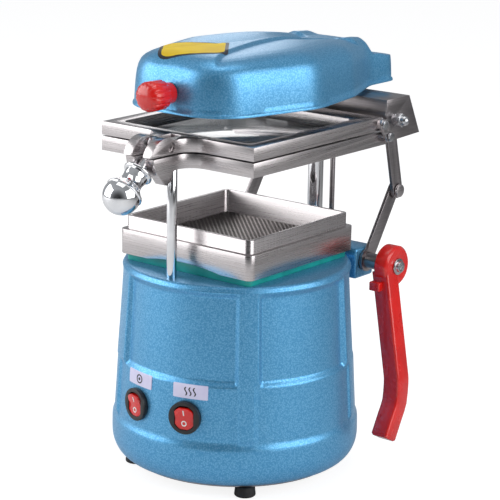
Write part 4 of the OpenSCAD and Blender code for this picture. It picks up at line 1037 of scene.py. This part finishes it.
def hood_height(x, y, full):
    """Height above the rim, where full is the height that the side alone would have."""
    dip = DIP * smooth_step(y, *DIP_SPAN) * (1 - smooth_step(abs(x), *DIP_SIDE))
    top = HOOD_H - REAR_FALL * smooth_step(y, *FALL_SPAN) - dip
    height = full * (1 - (1 - top / HOOD_H) * smooth_step(full, *ROUND_SPAN))
    if y > CAP_START:
        tail = TAIL_H + TAIL_RISE * (1 - smooth_step(y, *RISE_SPAN))
        cap = tail + (top - tail) * smooth_step(top_distance(x, y), *CAP_SPAN)
        height = soft_min(height, cap, CAP_ROUND)
    into = ridge_distance(abs(x), y)
    if into > -2 and full > 24:
        fade = math.exp(-max(into - 3, 0) / LOBE_FADE)
        height -= LOBE * smooth_step(into, *LOBE_SPAN) * fade * smooth_step(full, *LOBE_FULL)
    return height


print("hood height at its middle", round(hood_height(0, 20, HOOD_H), 1))

# %% [markdown]
# The shell is a grid of points. Its rows are copies of the outline that step up the side and then in
# to a line down the middle. Solidify gives it the thickness of pressed sheet, on the inner side.

# %% Hood shell
INNER_ROWS, SHEET_T = 36, 2.2


def make_hood():
    columns = len(hood_edge)
    rows = WALL_ROWS + INNER_ROWS
    deepest = SIDE[WALL_ROWS - 1][0]
    verts, faces = [], []
    for row in range(rows):
        for x, y in hood_edge:
            sy = min(max(y, SPINE_LOW), SPINE_HIGH)
            reach = math.hypot(x, y - sy)
            inset, full = SIDE[min(row, WALL_ROWS - 1)]
            if row >= WALL_ROWS:
                inset = deepest + (reach - deepest) * (row - WALL_ROWS + 1) / INNER_ROWS
            px, py = x * (1 - inset / reach), y + (sy - y) * inset / reach
            if row >= WALL_ROWS:
                full = side_height(edge_distance(px, py, hood_edge))
            verts.append((px * MM, py * MM, (HOOD_Z + hood_height(px, py, full)) * MM))
    for row in range(rows - 1):
        for c in range(columns):
            d = (c + 1) % columns
            a = row * columns
            faces.append((a + c, a + d, a + columns + d, a + columns + c))
    hood = mesh_object("hood_pressing", verts, faces)
    with editing_all(hood):
        bpy.ops.mesh.remove_doubles(threshold=0.05 * MM)
        bpy.ops.mesh.normals_make_consistent(inside=False)
    apply_modifier(hood, "SOLIDIFY", thickness=SHEET_T * MM, offset=-1)
    finish_piece(hood, "hood_pressing", "hood", hammer_enamel, 50)
    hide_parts("hood_shell")
    print("hood faces", len(hood.data.polygons), "rows", rows)
    return hood


hood_pressing = make_hood()

# %% [markdown]
# The hood's knob and the handle's arm change their section along their length. Such a piece is
# skinned over a stack of rings of points, as a loft is, and closed at both ends.

# %% Stacked rings
def stacked(name, rings):
    """Skins a stack of rings that have the same number of points, and closes both ends."""
    count = len(rings[0])
    verts = [Vector(p) * MM for ring in rings for p in ring]
    faces = []
    for r in range(len(rings) - 1):
        for i in range(count):
            j = (i + 1) % count
            faces.append((r * count + i, r * count + j, (r + 1) * count + j, (r + 1) * count + i))
    faces.append(tuple(reversed(range(count))))
    faces.append(tuple((len(rings) - 1) * count + i for i in range(count)))
    made = mesh_object(name, verts, faces)
    with editing_all(made):
        bpy.ops.mesh.normals_make_consistent(inside=False)
    return made


print("rings are skinned with four-sided faces")

# %% [markdown]
# The red knob on the hood is moulded, with fourteen shallow flutes for the fingers. Each ring's
# radius dips at the flutes, by the ring's own share, so the flutes run out before the round tip.

# %% Hood knob
KNOB_R, NECK_R, NECK_L = 10.7, 7.7, 8.2
FLUTES, FLUTE_DEPTH, KNOB_POINTS = 14, 0.8, 168
knob_low, knob_high = (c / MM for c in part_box("hood_knob"))
KNOB_Z, KNOB_BACK, KNOB_TIP = HOOD_Z + 14.4, knob_high.y, knob_low.y


def make_hood_knob():
    body = KNOB_BACK - NECK_L
    # Place along the axis, radius, and share of the flutes' depth
    stations = [
        (KNOB_BACK, NECK_R, 0), (body, NECK_R, 0), (body - 0.1, KNOB_R - 0.9, 0.6),
        (body - 1.0, KNOB_R, 1), (KNOB_TIP + 4.6, KNOB_R, 1), (KNOB_TIP + 2.8, KNOB_R - 0.7, 0.8),
        (KNOB_TIP + 1.4, KNOB_R - 2.2, 0.4), (KNOB_TIP + 0.6, KNOB_R - 4.2, 0.1),
        (KNOB_TIP + 0.1, KNOB_R - 7.5, 0), (KNOB_TIP, KNOB_R - 10, 0),
    ]
    rings = []
    for y, radius, fluted in stations:
        ring = []
        for i in range(KNOB_POINTS):
            a = math.tau * i / KNOB_POINTS
            r = radius - max(0, math.cos(a * FLUTES)) ** 2 * FLUTE_DEPTH * fluted
            ring.append((r * math.cos(a), y, KNOB_Z + r * math.sin(a)))
        rings.append(ring)
    knob = stacked("hood_knob_fluted", rings)
    finish_piece(knob, "hood_knob_fluted", "hood", finish["red_plastic"], 45)
    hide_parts("hood_knob")
    print("hood knob faces", len(knob.data.polygons))


make_hood_knob()

# %% [markdown]
# The handle is one red moulding on the end of the lift shaft: a round hub, an arm that leans
# outwards and then kicks forward, and a small stop. The hub is turned, the arm is stacked from
# rounded rectangles, the stop is a bevelled box, and all three are joined.

# %% Handle
HUB_X, HUB_W, HUB_R, HUB_EDGE, SCREW_R, WASHER_R = 81, 11.5, 15.5, 2, 2.5, 6.5
HUB_BORE_R, ARM_W, ARM_D, ARM_CORNER, KNEE_X, END_TRIM = 6.05, 14.5, 14.6, 1.9, 102.2, 2.0
STOP_LOW, STOP_HIGH = (80, 58.2, 137.2), (89, 66, 144)
# Middle of each section, and its tilt in degrees
ARM_STATIONS = [
    (85.3, 71, 150, 0), (101.5, 66.7, 73.5, 0), (102.0, 66.5, 70.5, 1), (KNEE_X, 66.3, 67, 3),
    (KNEE_X, 65.9, 60, 9), (KNEE_X, 64.9, 53, 16), (KNEE_X, 62.4, 47.5, 22),
    (KNEE_X, 59.4, 42.5, 26), (KNEE_X, 51.7, 28.4, 28), (KNEE_X, 51.1, 27.2, 28),
]


def rounded_ring(cx, cy, cz, width, depth, tilt_deg):
    """A rounded rectangle, tilted as the arm leans towards the front."""
    tilt = math.radians(tilt_deg)
    return [(cx + px, cy + py * math.cos(tilt), cz - py * math.sin(tilt))
            for px, py in rounded_rectangle(width, depth, ARM_CORNER)]


def make_handle():
    hub = turned("handle_hub", [
        (HUB_BORE_R, 0), (HUB_R - 1, 0), (HUB_R, 1), (HUB_R, HUB_W - HUB_EDGE),
        (HUB_R - 0.5, HUB_W - 1.3), (HUB_R - HUB_EDGE, HUB_W), (WASHER_R + 1.2, HUB_W),
        (WASHER_R, HUB_W - 0.2), (SCREW_R + 0.1, HUB_W - 0.2), (SCREW_R + 0.1, HUB_W - 1.5),
        (HUB_BORE_R, HUB_W - 1.5),
    ], closed=True)
    seat = Vector((HUB_X, SHAFT_Y, SHAFT_Z)) * MM
    place(hub, Matrix.Translation(seat) @ aimed(Vector((1, 0, 0))))
    rings = []
    for i, (x, y, z, tilt) in enumerate(ARM_STATIONS):
        trim = END_TRIM if i == len(ARM_STATIONS) - 1 else 0
        rings.append(rounded_ring(x, y, z, ARM_W - trim, ARM_D - trim, tilt))
    arm = stacked("handle_arm", rings)
    stop = block("handle_stop", STOP_LOW, STOP_HIGH, 0.8)
    select_only(hub)
    arm.select_set(True)
    stop.select_set(True)
    bpy.ops.object.join()
    finish_piece(hub, "handle_moulding", "lever", finish["red_plastic"], 40)
    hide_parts("handle")
    print("handle faces", len(hub.data.polygons))


make_handle()

# %% [markdown]
# The table's floor is a sheet of perforated steel that looks woven. One small square with a square
# hole is repeated in two directions, turned by 45 degrees so that the holes are diamonds, and
# trimmed to the plate's size. Holes of this size show in the picture, so none are left to a bump.

# %% Perforated plate
CELL, WIRE, COVER = 3.0, 0.55, 1.45
PLATE_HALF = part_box("perforated_plate")[1].x / MM


def make_mesh_plate():
    low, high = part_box("perforated_plate")
    bpy.ops.mesh.primitive_plane_add(size=CELL * MM, location=(0, 0, 0))
    plate = bpy.context.object
    with editing_all(plate):
        bpy.ops.mesh.inset(thickness=WIRE * MM)
        bpy.ops.mesh.delete(type="FACE")
    count = int(2 * PLATE_HALF * COVER / CELL)
    for axis in ((1, 0, 0), (0, 1, 0)):
        apply_modifier(plate, "ARRAY", count=count, relative_offset_displace=axis,
                       use_merge_vertices=True, merge_threshold=0.01 * MM)
    start = -count * CELL / 2 * MM
    plate.location = (start, start, 0)
    to_mesh_place(plate)
    plate.rotation_euler = (0, 0, math.radians(45))
    plate.location = (0, 0, low.z)
    to_mesh_place(plate)
    with editing_all(plate):
        for normal in ((1, 0, 0), (-1, 0, 0), (0, 1, 0), (0, -1, 0)):
            bpy.ops.mesh.select_all(action="SELECT")
            bpy.ops.mesh.bisect(plane_co=Vector(normal) * PLATE_HALF * MM, plane_no=normal,
                                clear_outer=True)
    apply_modifier(plate, "SOLIDIFY", thickness=high.z - low.z, offset=1)
    finish_piece(plate, "table_mesh", "base", finish["mesh_steel"], 30)
    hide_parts("perforated_plate")
    print("mesh plate faces", len(plate.data.polygons))


make_mesh_plate()

# %% [markdown]
# Labels and marks are thin films that follow the surface under them. Each is drawn flat, held
# outside the surface and dropped onto it point by point, as a sticker is laid. A wide film is cut
# into short strips first, so that it can bend.

# %% Films on a surface
DROP_FROM, WAVE_STEPS, RING_POINTS = 40, 16, 36


def flat_film(name, width_mm, height_mm, corner_mm, strip_mm=1.5):
    """A rounded rectangle in the XY plane, cut into strips so that it can bend."""
    ring = rounded_rectangle(width_mm, height_mm, corner_mm)
    film = outline_object(name, [(x * MM, y * MM, 0) for x, y in ring], closed=True)
    with editing_all(film):
        bpy.ops.mesh.edge_face_add()
        for normal, length in (((1, 0, 0), width_mm), ((0, 1, 0), height_mm)):
            steps = int(length / strip_mm)
            for i in range(1, steps):
                cut = Vector(normal) * ((-length / 2 + i * length / steps) * MM)
                bpy.ops.mesh.select_all(action="SELECT")
                bpy.ops.mesh.bisect(plane_co=cut, plane_no=normal)
    return film


def drop_onto(film, surface, matrix, lift_mm, thick_mm):
    """Drops each point of a flat film onto a surface along the frame's -Z."""
    inward = -(matrix.to_3x3() @ Vector((0, 0, 1)))
    for vertex in film.data.vertices:
        start = matrix @ vertex.co
        hit, point, _, _ = surface.ray_cast(start - inward * DROP_FROM * MM, inward)
        vertex.co = (point if hit else start) - inward * lift_mm * MM
    apply_modifier(film, "SOLIDIFY", thickness=thick_mm * MM, offset=0)


def wave_film(name, x_mm, length_mm, width_mm, swing_mm):
    """A narrow wavy stroke that runs up the film."""
    verts = []
    for side in (-1, 1):
        for i in range(WAVE_STEPS + 1):
            t = i / WAVE_STEPS
            x = x_mm + swing_mm * math.sin(t * math.tau) + side * width_mm / 2
            verts.append((x * MM, (t - 0.5) * length_mm * MM, 0))
    row = WAVE_STEPS + 1
    faces = [(row + i, row + 1 + i, i + 1, i) for i in range(WAVE_STEPS)]
    return mesh_object(name, verts, faces)


def ring_film(name, y_mm, outer_mm, inner_mm):
    """A flat ring round a point on the film's middle line."""
    turns = [math.tau * i / RING_POINTS for i in range(RING_POINTS)]
    verts = [(r * math.cos(a) * MM, (y_mm + r * math.sin(a)) * MM, 0)
             for r in (outer_mm, inner_mm) for a in turns]
    faces = []
    for i in range(RING_POINTS):
        j = (i + 1) % RING_POINTS
        faces.append((i, j, RING_POINTS + j, RING_POINTS + i))
    return mesh_object(name, verts, faces)


print("films drop from", DROP_FROM, "mm above their place")

# %% [markdown]
# A small pale label sits above each switch. Its sign is generic and bears no words: three waves for
# the heater, and a wheel seen from the front for the motor. The ink is a second, thinner film.

# %% Switch labels
LABEL_W, LABEL_H, LABEL_Z, LABEL_R, LABEL_CORNER = 27, 10.5, 82, 92, 0.8
HEAT_LABEL_ANGLE, MOTOR_LABEL_ANGLE = 17.6, -12.6
LABEL_LIFT, LABEL_T, INK_LIFT, INK_T = 0.25, 0.4, 0.52, 0.08
WAVES, WAVE_GAP, WAVE_L, WAVE_W, WAVE_SWING = 3, 3.4, 6.2, 1.0, 0.8
WHEEL_R, WHEEL_HUB_R = (3.4, 2.5), (1.1, 0.2)


def lay_films(films, seat, lift_mm, thick_mm, ink):
    for film in films:
        drop_onto(film, housing_shell, seat, lift_mm, thick_mm)
        finish_piece(film, film.name, "base", ink)


def make_heat_label():
    seat = on_side(HEAT_LABEL_ANGLE, LABEL_Z, LABEL_R)
    plate = flat_film("heat_label", LABEL_W, LABEL_H, LABEL_CORNER)
    lay_films([plate], seat, LABEL_LIFT, LABEL_T, label_film)
    waves = []
    for i in range(WAVES):
        x = (i - 1) * WAVE_GAP
        waves.append(wave_film(f"heat_wave_{i + 1}", x, WAVE_L, WAVE_W, WAVE_SWING))
    lay_films(waves, seat, INK_LIFT, INK_T, label_ink)
    print("heat label with", len(waves), "waves")


def make_motor_label():
    seat = on_side(MOTOR_LABEL_ANGLE, LABEL_Z, LABEL_R)
    plate = flat_film("motor_label", LABEL_W, LABEL_H, LABEL_CORNER)
    lay_films([plate], seat, LABEL_LIFT, LABEL_T, label_film)
    wheel = [ring_film("motor_ring", 0, *WHEEL_R), ring_film("motor_hub", 0, *WHEEL_HUB_R)]
    lay_films(wheel, seat, INK_LIFT, INK_T, label_ink)
    print("motor label with", len(wheel), "rings")


make_heat_label()
make_motor_label()

# %% [markdown]
# Each rocker has a stroke for on and a ring for off, printed in white. They ride on the rocker, so
# they tilt with it.

# %% Rocker marks
MARK_R, MARK_LIFT, MARK_T = 95, 0.08, 0.06
STROKE_W, STROKE_L, STROKE_CORNER, STROKE_Y = 0.9, 4.2, 0.3, 4.0
RING_Y, RING_OUTER, RING_INNER = -4.2, 2.1, 1.35


def make_rocker_marks(kind, angle):
    rocker = finished[kind + "_rocker"]
    seat = on_side(angle, SWITCH_Z, MARK_R)
    stroke = flat_film(kind + "_on_mark", STROKE_W, STROKE_L, STROKE_CORNER)
    stroke.data.transform(Matrix.Translation((0, STROKE_Y * MM, 0)))
    ring = ring_film(kind + "_off_mark", RING_Y, RING_OUTER, RING_INNER)
    for mark in (stroke, ring):
        drop_onto(mark, rocker, seat, MARK_LIFT, MARK_T)
        finish_piece(mark, mark.name, kind + "_rocker", mark_white)
    print(kind, "rocker marks", stroke.name, ring.name)


make_rocker_marks("heat", HEAT_ANGLE)
make_rocker_marks("motor", MOTOR_ANGLE)

# %% [markdown]
# A plain yellow decal with a dark border lies on the left front of the hood's top. It is two
# films: the border, and the yellow field a hair above it.

# %% Hood decal
DECAL_CENTRE, DECAL_TURN, DECAL_ABOVE, DECAL_STRIP, DECAL_T = (-12, -38), 38, 60, 2.0, 0.1
# Name, width, height, corner, lift and ink of each film
DECAL_FILMS = [
    ("decal_border", 50, 56, 11, 0.15, label_ink),
    ("decal_field", 45, 51, 8.5, 0.28, decal_yellow),
]


def make_decal():
    turn = Matrix.Rotation(math.radians(DECAL_TURN), 4, "Z")
    seat = Matrix.Translation(Vector((*DECAL_CENTRE, HOOD_Z + DECAL_ABOVE)) * MM) @ turn
    for name, width, height, corner, lift, ink in DECAL_FILMS:
        film = flat_film(name, width, height, corner, DECAL_STRIP)
        drop_onto(film, hood_pressing, seat, lift, DECAL_T)
        finish_piece(film, name, "hood", ink)
    print("decal films", len(DECAL_FILMS))


make_decal()

# %% [markdown]
# The last step prints the box of the engineering model and the box of the dressed model, so that
# the two can be compared.

# %% Measure and finish
sizes = {
    "cad_box": [list(corner) for corner in cad_box],
    "visual_box": [list(corner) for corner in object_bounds()],
}
for box, corners in sizes.items():
    print(box, [[round(c / MM, 1) for c in corner] for corner in corners])
